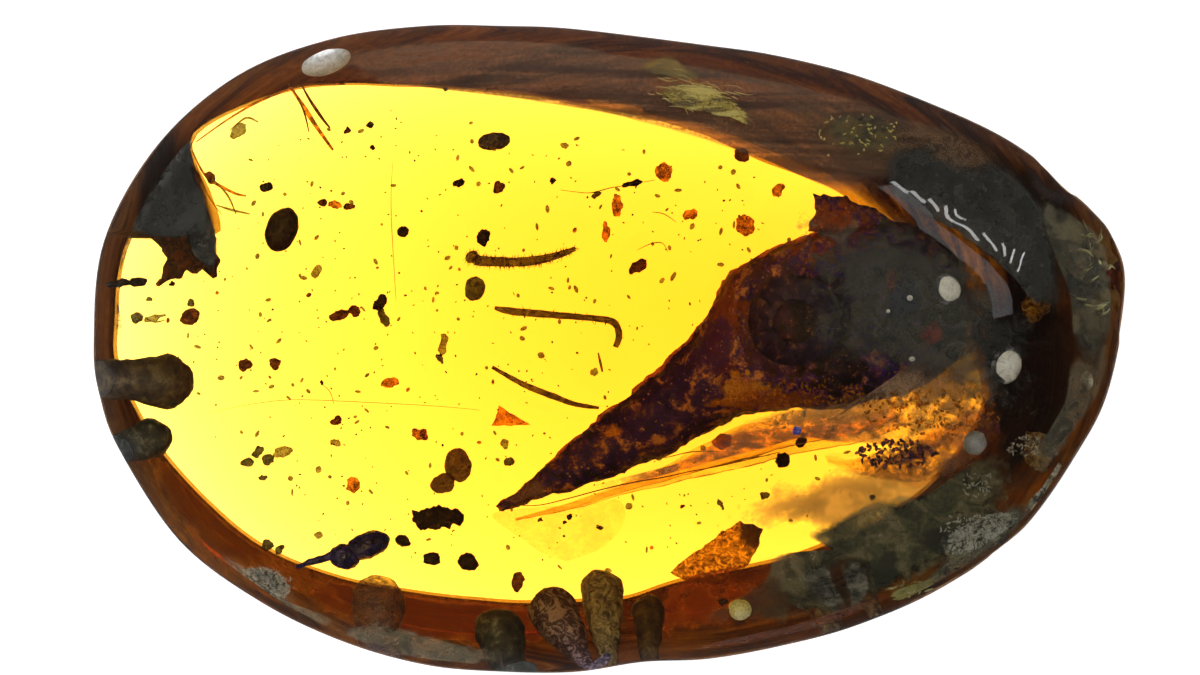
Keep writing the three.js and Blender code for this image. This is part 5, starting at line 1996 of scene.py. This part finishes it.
@dataclass(frozen=True)
class Sheets:
    """Clouded resin and crusts under the dome, sheets of painted shadow and of painted reflection,
    and a pale film under the snout.
    """

    stone: Stone
    sheets: tuple[Sheet, ...] = (
        Sheet("mist", (
            (690, 510), (740, 486), (790, 466), (840, 452), (900, 442), (970, 440), (1020, 440),
            (1010, 480), (960, 520), (900, 548), (850, 556), (823, 553), (804, 544), (784, 540),
            (750, 538), (705, 532)),
            Finish("thin_smoke", ((0.36, (0.05, 0.045, 0.03)), (0.6, (0.16, 0.14, 0.08))),
                   size=1.4, relief=0.0, clear=0.66, clear_spread=0.12, fade=0.42,
                   fade_clear=0.99, tint=(0.72, 0.68, 0.9)), 0.7),
        Sheet("smoke", (
            (764, 556), (790, 553), (824, 557), (818, 545), (800, 532), (824, 518), (850, 505),
            (890, 492), (930, 484), (968, 470), (1005, 440), (1035, 440), (1046, 485),
            (1020, 528), (985, 556), (935, 582), (870, 610), (800, 630), (740, 640), (700, 641),
            (690, 626), (720, 606), (745, 586), (756, 566)),
            Finish("smoky_resin", ((0.38, (0.02, 0.022, 0.014)), (0.5, (0.10, 0.10, 0.06)),
                                   (0.6, (0.32, 0.29, 0.2))),
                   size=0.8, warp=0.9, relief=0.0, clear=0.3, clear_spread=0.3, fade=0.22,
                   fade_clear=0.98, tint=(0.62, 0.66, 0.7),
                   patches=(Patch((4.2, -7.6, 4), (1.8, 1.2, 9), (0.12, 0.06, 0.02), 0.7, 0.5,
                                  0.8),
                            Patch((7.0, -7.0, 4), (1.3, 1.0, 9), (0.05, 0.05, 0.03), 0.9, 0.5,
                                  0.85),
                            Patch((10.1, -5.7, 4), (0.9, 0.5, 9), (0.008, 0.009, 0.008), 0.97,
                                  0.6, 0.05),
                            Patch((8.3, -6.6, 4), (0.6, 1.1, 9), (0.008, 0.012, 0.008), 0.95,
                                  0.5, 0.05))), 0.5),
        Sheet("pale_mud_1", ((796, 568), (812, 558), (830, 566), (842, 590), (852, 612), (840, 624),
                             (820, 606), (804, 588)), PALE_MUD, 0.2),
        Sheet("pale_mud_2", ((838, 562), (854, 556), (868, 568), (872, 590), (864, 608),
                             (850, 612), (846, 590)), PALE_MUD, 0.15),
        Sheet("jaw_haze", (
            (560, 494), (620, 478), (670, 458), (710, 432), (760, 410), (800, 402), (850, 398),
            (900, 378), (940, 345), (985, 335), (1018, 352), (1034, 395), (1020, 435),
            (975, 452), (930, 452), (880, 446), (840, 446), (800, 440), (750, 453), (700, 466),
            (640, 482), (590, 496)),
            Finish("cloudy_film", ((0.36, (0.05, 0.035, 0.05)), (0.5, (0.14, 0.09, 0.09)),
                                   (0.64, (0.36, 0.21, 0.13))),
                   size=0.4, stretch=(1.8, 1, 1), relief=0.0, clear=0.6, clear_spread=0.3,
                   fade=0.2, fade_clear=0.98, tint=(1.0, 0.88, 0.75),
                   grain=(0.8, 0.45, 0.15), grain_size=0.11, grain_share=1.1,
                   patches=(Patch((7.0, -1.7, 4), (2.4, 1.1, 9), (0.14, 0.09, 0.10), 0.7, 0.9,
                                  0.35),
                            Patch((10.0, -0.8, 4), (2.4, 1.4, 9), (0.20, 0.12, 0.10), 0.8, 0.9,
                                  0.2),
                            Patch((8.4, -1.0, 4), (1.4, 0.55, 9), (0.38, 0.24, 0.20), 0.85, 1.1,
                                  0.1),
                            Patch((7.5, -2.9, 4), (1.2, 0.5, 9), (0.9, 0.45, 0.12), 0.9, 1.0,
                                  0.6))), 0.6),
        # Painted shade and a painted reflection over the back of the skull.
        Sheet("head_haze_painted_shade_and_reflection", (
            (770, 200), (850, 178), (905, 192), (960, 222), (1012, 258), (1048, 300),
            (1088, 340), (1078, 400), (1030, 448), (960, 418), (905, 398), (855, 388),
            (800, 372), (766, 310), (756, 245)), HAZE_PAINTED_SHADE_AND_REFLECTION, 0.3),
        Sheet("rim_crystal_1", ((938, 552), (948, 530), (975, 518), (1000, 510), (1030, 512),
                                (1018, 530), (990, 548), (960, 560)), CRYSTAL, 0.1, 0.12),
        Sheet("rim_crystal_2", ((1025, 505), (1045, 485), (1062, 460), (1068, 470),
                                (1050, 500), (1030, 520)), CRYSTAL, 0.1, 0.1),
        Sheet("rim_crystal_3", ((216, 562), (240, 566), (275, 566), (296, 590), (284, 606),
                                (256, 598), (230, 582)), CRYSTAL, 0.12, 0.1),
        Sheet("lower_strip", ((690, 654), (740, 641), (790, 631), (840, 615), (876, 598),
                              (888, 598), (862, 613), (802, 636), (745, 650), (705, 657)),
              Finish("red_strip", ((0.35, (0.07, 0.03, 0.02)), (0.5, (0.2, 0.08, 0.05)),
                                   (0.68, (0.34, 0.22, 0.16))), size=0.8, stretch=(4, 1, 1),
                     clear=0.45, clear_spread=0.3, fade=0.2, fade_clear=0.95,
                     tint=(1, 0.6, 0.3)), 0.12),
        Sheet("green_strip", ((886, 600), (896, 588), (925, 580), (942, 582), (930, 596),
                              (905, 606)),
              Finish("green_glass", ((0.35, (0.16, 0.15, 0.03)), (0.65, (0.5, 0.46, 0.16))),
                     size=0.3, clear=0.3, clear_spread=0.2, fade=0.2, tint=(0.9, 0.9, 0.3)),
              0.12),
        Sheet("right_glass", ((1036, 182), (1070, 196), (1104, 232), (1120, 285), (1116, 345),
                              (1098, 385), (1076, 360), (1068, 305), (1054, 262), (1040, 225)),
              Finish("olive_glass", ((0.38, (0.03, 0.027, 0.018)), (0.5, (0.09, 0.08, 0.05)),
                                     (0.58, (0.3, 0.27, 0.16))), size=1.3, warp=0.7,
                     relief=0.08, rough=(0.15, 0.4), clear=0.38, clear_spread=0.3, fade=0.2,
                     fade_clear=0.98), 0.12),
        Sheet("right_film", ((1072, 352), (1094, 345), (1114, 350), (1108, 382), (1090, 416),
                             (1064, 456), (1038, 486), (1022, 470), (1044, 432), (1064, 396)),
              RIM_FILM, 0.15),
        # Painted shadow past the skull's far side and at the left end.
        Sheet("band_shadow", ((878, 150), (930, 134), (985, 150), (1035, 186), (1062, 235),
                              (1066, 300), (1046, 316), (1012, 280), (965, 240), (915, 212),
                              (878, 186)), SHADOW, 0.2),
        Sheet("wedge_shadow", ((192, 122), (158, 146), (130, 180), (112, 224), (140, 238),
                               (172, 242), (206, 238), (208, 200), (196, 165)), SHADOW, 0.15),
        Sheet("blade_shadow", ((186, 150), (198, 184), (211, 215), (219, 246), (214, 276),
                               (198, 264), (188, 246), (184, 200)), SHADOW, 0.3),
        Sheet("left_film", ((116, 205), (100, 255), (96, 310), (103, 352), (124, 352),
                            (119, 300), (126, 250), (138, 220)), SIDE_FILM, 0.15),
        Sheet("left_film_2", ((106, 430), (120, 478), (146, 522), (186, 563), (214, 560),
                              (186, 524), (160, 484), (140, 440)), SIDE_FILM, 0.15),
        Sheet("bottom_film_1", ((186, 545), (208, 576), (250, 605), (300, 632), (340, 646),
                                (346, 624), (300, 606), (258, 578), (225, 552)), SIDE_FILM, 0.15),
        Sheet("bottom_film_2", ((315, 620), (345, 650), (400, 664), (450, 670), (500, 673),
                                (505, 652), (440, 636), (380, 618)), SIDE_FILM, 0.15),
        Sheet("corner_film", ((905, 604), (950, 584), (985, 562), (1020, 532), (1050, 500),
                              (1040, 486), (1005, 506), (965, 540), (925, 574)),
              replace(RIM_FILM, name="green_film", tint=(0.9, 1.0, 0.8)), 0.12),
        Sheet("top_film", ((322, 58), (352, 44), (420, 34), (500, 32), (580, 38), (660, 48),
                           (740, 60), (820, 80), (900, 106), (965, 134), (1020, 172),
                           (965, 186), (905, 190), (850, 196), (780, 168), (700, 140),
                           (620, 119), (540, 104), (470, 94), (400, 86), (345, 78)),
              Finish("top_film", ((0.38, (0.045, 0.02, 0.012)), (0.48, (0.17, 0.09, 0.055)),
                                  (0.58, (0.42, 0.28, 0.19))), size=0.6,
                     stretch=(14, 1, 1), warp=0.5, relief=0.0, clear=0.6, clear_spread=0.25,
                     tint=(1, 0.9, 0.8), fade=0.1, fade_clear=0.97), 0.3, 0.05),
        Sheet("golden_patch", ((650, 84), (668, 76), (700, 74), (728, 84), (748, 104),
                               (758, 124), (742, 116), (712, 110), (680, 104), (660, 98)),
              Finish("gold_fracture", ((0.42, (0.10, 0.06, 0.01)), (0.5, (0.5, 0.38, 0.06)),
                                       (0.56, (1.0, 0.9, 0.3))), size=0.4,
                     stretch=(5, 1, 1), warp=0.4, relief=0.05, rough=(0.2, 0.5), clear=0.25,
                     clear_spread=0.25, fade=0.2, tint=(1, 0.85, 0.4)), 0.15),
        Sheet("gold_streak", ((628, 60), (650, 46), (674, 44), (690, 58), (712, 74), (690, 76),
                              (660, 70), (640, 68)),
              Finish("gold_streak", ((0.42, (0.08, 0.05, 0.01)), (0.56, (0.55, 0.45, 0.14))),
                     size=0.4, stretch=(5, 1, 1), warp=0.4, clear=0.55, clear_spread=0.3,
                     fade=0.3, tint=(1, 0.85, 0.4)), 0.15),
        Sheet("gold_mottle", ((812, 122), (840, 104), (880, 106), (908, 126), (904, 150),
                              (872, 160), (836, 154)),
              Finish("gold_mottle", ((0.40, (0.010, 0.008, 0.006)), (0.5, (0.14, 0.10, 0.03)),
                                     (0.6, (0.5, 0.38, 0.10))), size=0.5, warp=1.2,
                     clear=0.5, clear_spread=0.45, fade=0.28, fade_clear=0.97), 0.15),
        Sheet("brown_mottle", ((918, 140), (945, 126), (985, 142), (1000, 168), (962, 172),
                               (930, 160)),
              Finish("brown_mottle", ((0.42, (0.01, 0.006, 0.003)), (0.52, (0.28, 0.12, 0.03)),
                                      (0.62, (0.55, 0.3, 0.09))), size=0.32, warp=1.2,
                     clear=0.5, clear_spread=0.45, fade=0.28, fade_clear=0.97), 0.15))
    shares: tuple[float, ...] = (0.08, 0.2, 0.34, 0.48, 0.62, 0.74, 0.85, 0.94, 1.0)
    film_places: tuple[Pair, ...] = ((492, 515), (520, 538), (548, 556), (572, 560), (606, 545),
                                     (624, 522), (618, 500), (570, 506), (530, 508))
    film_height: float = 3.0
    film: Finish = Finish(
        "pale_film", ((0.35, (0.35, 0.26, 0.08)), (0.65, (0.7, 0.56, 0.2))), size=0.5,
        clear=0.94, clear_spread=0.05, tint=(0.99, 0.97, 0.88), relief=0.02)

    def drape(self, sheet: Sheet) -> bpy.types.Mesh:
        """A thin closed layer that follows the dome.

        Args:
            sheet: the layer's outline and depth.

        Returns:
            Its mesh, marked by nearness to its middle.
        """
        edge = smooth_path([Vector((*p, 0)) for p in sheet.places], 6, closed=True)
        middle = sum(edge, Vector((0, 0, 0))) / len(edge)
        rings, marks = [], []
        for depth, order in ((sheet.under + sheet.thickness, self.shares),
                             (sheet.under, self.shares[::-1])):
            for share in order:
                spots = (middle.lerp(p, share) for p in edge)
                rings.append([self.stone.below(p.x, p.y, depth, 0.8 * depth) for p in spots])
                marks += [1 - share] * len(edge)
        mesh = lofted(rings).mesh(sheet.name)
        mark(mesh, "edge", marks + [1.0, 1.0])
        return mesh

    def build(self) -> None:
        """Make every layer, and the film."""
        for sheet in self.sheets:
            publish(sheet.name, self.drape(sheet), sheet.finish)
        outline = [tuple(self.stone.behind(*p, self.film_height))[:2] for p in self.film_places]
        mesh = slab(outline, self.film_height, 0.5, crinkle=0.15, ragged=0.03,
                    seed=1.0).mesh("pale_film")
        publish("pale_film", mesh, self.film)


@dataclass(frozen=True)
class Spray:
    """A burst of thin curved flakes: frame middle and reach, number, sizes and direction."""

    name: str
    middle: Pair
    reach: Pair
    count: int
    long: Pair
    wide: Pair
    turn: float
    fan: float
    finish: Finish
    under: Pair = (0.15, 0.4)
    seed: int = 1


GOLD_FLAKE = Finish("gold_flake", ((0.35, (0.35, 0.26, 0.04)), (0.6, (0.9, 0.8, 0.28))),
                    size=0.3, relief=0.02, rough=(0.15, 0.4), clear=0.2, clear_spread=0.15,
                    tint=(1, 0.8, 0.3))
OLIVE_FLAKE = Finish("olive_flake", ((0.35, (0.12, 0.11, 0.035)), (0.6, (0.6, 0.56, 0.26))),
                     size=0.3, relief=0.02, rough=(0.1, 0.35), clear=0.2, clear_spread=0.15)
PALE_FLAKE = Finish("pale_flake", ((0.35, (0.12, 0.12, 0.10)), (0.62, (0.6, 0.59, 0.48))),
                    size=0.2, relief=0.02, rough=(0.15, 0.4), clear=0.25, clear_spread=0.2)


@dataclass(frozen=True)
class Sprays:
    """Bright fracture flakes near the rim."""

    stone: Stone
    sprays: tuple[Spray, ...] = (
        Spray("golden_flakes", (700, 88), (52, 18), 44, (0.08, 0.42), (0.012, 0.03), -30, 22,
              GOLD_FLAKE, (0.08, 0.2), 5),
        Spray("golden_specks", (860, 130), (40, 18), 50, (0.03, 0.09), (0.02, 0.04), -15, 90,
              GOLD_FLAKE, (0.08, 0.2), 8),
        Spray("olive_shards", (1094, 272), (17, 46), 26, (0.08, 0.4), (0.02, 0.06), 60, 80,
              OLIVE_FLAKE, (0.1, 0.3), 12),
        Spray("violet_grains", (897, 454), (40, 14), 130, (0.03, 0.11), (0.025, 0.07), 0, 90,
              DIRT[Dirt.VIOLET], (0.35, 0.7), 31),
        Spray("rust_grains", (930, 412), (72, 24), 200, (0.03, 0.09), (0.02, 0.05), 0, 90,
              DIRT[Dirt.ORANGE], (0.3, 0.55), 37),
        Spray("cheek_grains", (806, 392), (60, 14), 90, (0.03, 0.08), (0.015, 0.04), 0, 90,
              DIRT[Dirt.ORANGE], (0.9, 1.4), 41),
        Spray("lower_shards", (912, 590), (24, 9), 16, (0.05, 0.2), (0.02, 0.05), 25, 40,
              OLIVE_FLAKE, (0.1, 0.2), 17),
        Spray("rim_shards", (985, 532), (44, 17), 90, (0.03, 0.12), (0.015, 0.04), 35, 70,
              PALE_FLAKE, (0.06, 0.1), 21),
        Spray("corner_shards", (256, 585), (34, 12), 60, (0.03, 0.1), (0.015, 0.04), -30, 70,
              PALE_FLAKE, (0.06, 0.1), 23),
        Spray("smoke_shards", (978, 484), (16, 14), 40, (0.03, 0.1), (0.015, 0.04), 0, 90,
              PALE_FLAKE, (0.1, 0.3), 25),
        Spray("lump_shards", (1026, 447), (20, 11), 50, (0.03, 0.1), (0.015, 0.04), 0, 90,
              PALE_FLAKE, (0.1, 0.3), 27))

    def build(self) -> None:
        """Make each spray in one piece."""
        for spray in self.sprays:
            dice = random.Random(spray.seed)
            skin = Skin()
            for _ in range(spray.count):
                around, out = dice.uniform(0, TURN), math.sqrt(dice.random())
                at = self.stone.below(spray.middle[0] + spray.reach[0] * out * math.cos(around),
                                      spray.middle[1] + spray.reach[1] * out * math.sin(around),
                                      dice.uniform(*spray.under))
                turn = math.radians(spray.turn + dice.uniform(-spray.fan, spray.fan))
                long, wide = dice.uniform(*spray.long), dice.uniform(*spray.wide)
                bow = dice.uniform(-0.35, 0.35) * long
                along = Vector((math.cos(turn), math.sin(turn), 0))
                across = Vector((-along.y, along.x, 0))
                path = smooth_path([self.stone.tuck(at + along * t * long + across
                                                    * bow * (1 - t * t), 0.07)
                                    for t in (-1, -0.3, 0.4, 1)], 4)
                skin.join(tube(path, (0.2 * wide, wide, 0.7 * wide, 0.1 * wide), 6))
            publish(spray.name, skin.mesh(spray.name), spray.finish)


# ---- the studio -----------------------------------------------------------------------------


@dataclass(frozen=True)
class Lamp:
    """A soft rectangular lamp: place, size, brightness, aim, roll and whether it mirrors."""

    name: str
    at: Triple
    size: Pair
    glow: float
    aim: Triple = (0, 0, 4)
    roll: float = 0.0
    mirrored: bool = True

    def build(self) -> None:
        """Make the lamp; its brightness is that of its face, whatever its size.

        A lamp that isn't mirrored stands for one behind a polarising sheet.
        """
        light = bpy.data.lights.new(self.name, "AREA")
        light.shape = "RECTANGLE"
        light.size, light.size_y = (s * MM for s in self.size)
        light.energy = self.glow * math.pi * light.size * light.size_y
        lamp = bpy.data.objects.new(self.name, light)
        lamp.location = Vector(self.at) * MM
        way = Vector(self.aim) - Vector(self.at)
        turn = way.to_track_quat("-Z", "Y").to_matrix() @ Matrix.Rotation(
            math.radians(self.roll), 3, "Z")
        lamp.rotation_euler = turn.to_euler()
        lamp.visible_glossy = self.mirrored
        bpy.context.scene.collection.objects.link(lamp)


@dataclass(frozen=True)
class Studio:
    """The pale light table, soft lamps and the camera."""

    stone: Stone
    floor_half: float = 1000.0
    floor_z: float = -0.02
    floor_tone: float = 0.3
    floor_glow: float = 0.95
    sky_tones: Tones = (
        (0.5, (0.25, 0.25, 0.25)), (0.58, (0.2, 0.2, 0.2)), (0.68, (0.06, 0.06, 0.06)),
        (1.0, (0.035, 0.035, 0.035)))
    lamps: tuple[Lamp, ...] = (
        Lamp("table_light", (0, 0, -0.01), (160, 160), 2.2, (0, 0, 100), mirrored=False),
        Lamp("key", (152, 134, 288), (340, 13), 1.0, roll=-26),
        Lamp("overhead", (-60, 40, 340), (300, 300), 5.0, mirrored=False))
    slat_middle: Triple = (144.6, 172.4, 268.1)
    slat_places: tuple[Pair, ...] = (
        (-80, 30), (-58, 19), (-36, 7), (-13, -4), (11, -15), (37, -27), (65, -41), (93, -55))
    slat_ends: tuple[Pair, ...] = (     # first and last slat: length, width, glow and roll
        (60, 32), (1.5, 3.0), (11, 6), (-31, -46))
    frame_size: Pair = (1200, 675)
    sensor: float = 36.0
    near_clip: float = 10.0
    bounces: tuple[tuple[str, int], ...] = (
        ("max_bounces", 8), ("transmission_bounces", 8), ("glossy_bounces", 4),
        ("transparent_max_bounces", 20), ("diffuse_bounces", 2))

    def tent(self) -> bpy.types.World:
        """Make the white tent round the table, brightest low down."""
        world = bpy.data.worlds.new("tent")
        world.use_nodes = True
        nodes, links = world.node_tree.nodes, world.node_tree.links
        way = nodes.new("ShaderNodeSeparateXYZ")
        links.new(nodes.new("ShaderNodeTexCoord").outputs["Generated"], way.inputs[0])
        high = nodes.new("ShaderNodeMapRange")
        high.inputs["From Min"].default_value = -1
        links.new(way.outputs["Z"], high.inputs["Value"])
        ramp = nodes.new("ShaderNodeValToRGB")
        set_stops(ramp, self.sky_tones)
        links.new(high.outputs[0], ramp.inputs[0])
        links.new(ramp.outputs[0], nodes["Background"].inputs["Color"])
        return world

    def build_slats(self) -> None:
        """Make the narrow slats beside the key lamp, which mirror as a row of short dashes."""
        middle = Vector(self.slat_middle)
        along = Vector((0, 0, 1)).cross(middle).normalized()
        over = middle.normalized().cross(along)
        for k, (u, v) in enumerate(self.slat_places):
            length, width, glow, roll = (between(ends, k / (len(self.slat_places) - 1))
                                         for ends in self.slat_ends)
            Lamp(f"slat_{k + 1}", tuple(middle + along * u + over * v), (length, width), glow,
                 roll=roll).build()

    def build_floor(self) -> None:
        """Make the glowing top of the light table."""
        r = Recipe("light_table")
        tone = r.ramp(r.cloud(60, 3), ((0.4, (self.floor_tone,) * 3),
                                       (0.6, (self.floor_tone + 0.02,) * 3)))
        r.feed(r.shader.inputs["Base Color"], tone)
        r.shader.inputs["Roughness"].default_value = 0.9
        r.shader.inputs["Emission Color"].default_value = (1, 1, 1, 1)
        r.shader.inputs["Emission Strength"].default_value = self.floor_glow
        mesh = bpy.data.meshes.new("floor")
        half, z = self.floor_half * MM, self.floor_z * MM
        mesh.from_pydata([(-half, -half, z), (half, -half, z), (half, half, z), (-half, half, z)],
                         [], [(0, 1, 2, 3)])
        mesh.materials.append(r.material)
        floor = bpy.data.objects.new("floor", mesh)
        floor.visible_glossy = False
        bpy.context.scene.collection.objects.link(floor)

    def build_camera(self) -> None:
        """Make the camera, and set how many bounces of light it follows."""
        scene = bpy.context.scene
        camera = bpy.data.cameras.new("camera")
        stand = Vector(self.stone.eye_point) * MM
        camera.sensor_width = self.sensor
        camera.lens = (self.sensor * (stand.z - self.stone.frame_plane * MM)
                       / (self.frame_size[0] * self.stone.pitch * MM))
        camera.clip_start = self.near_clip * MM
        view = bpy.data.objects.new("camera", camera)
        view.location = stand
        scene.collection.objects.link(view)
        scene.camera = view
        scene.view_settings.view_transform = "Standard"
        for name, count in self.bounces:
            setattr(scene.cycles, name, count)

    def build(self) -> None:
        """Make floor, tent, lamps and camera."""
        self.build_floor()
        bpy.context.scene.world = self.tent()
        for lamp in self.lamps:
            lamp.build()
        self.build_slats()
        self.build_camera()


def main() -> None:
    """Build the stone, what it holds and the studio, in order."""
    logging.basicConfig(level=logging.INFO, format="%(message)s")
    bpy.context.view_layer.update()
    stone = Stone()
    Studio(stone).build()
    Amber(stone).build()
    Crust(stone).build()
    Head().build()
    Borings(stone).build()
    Lumps().build()
    Limbs().build()
    Scraps().build()
    Pellets().build()
    Beetle().build()
    Flecks(stone).build()
    Strands(stone).build()
    Bubbles(stone).build()
    Sheets(stone).build()
    Sprays(stone).build()


if __name__ == "__main__":
    main()
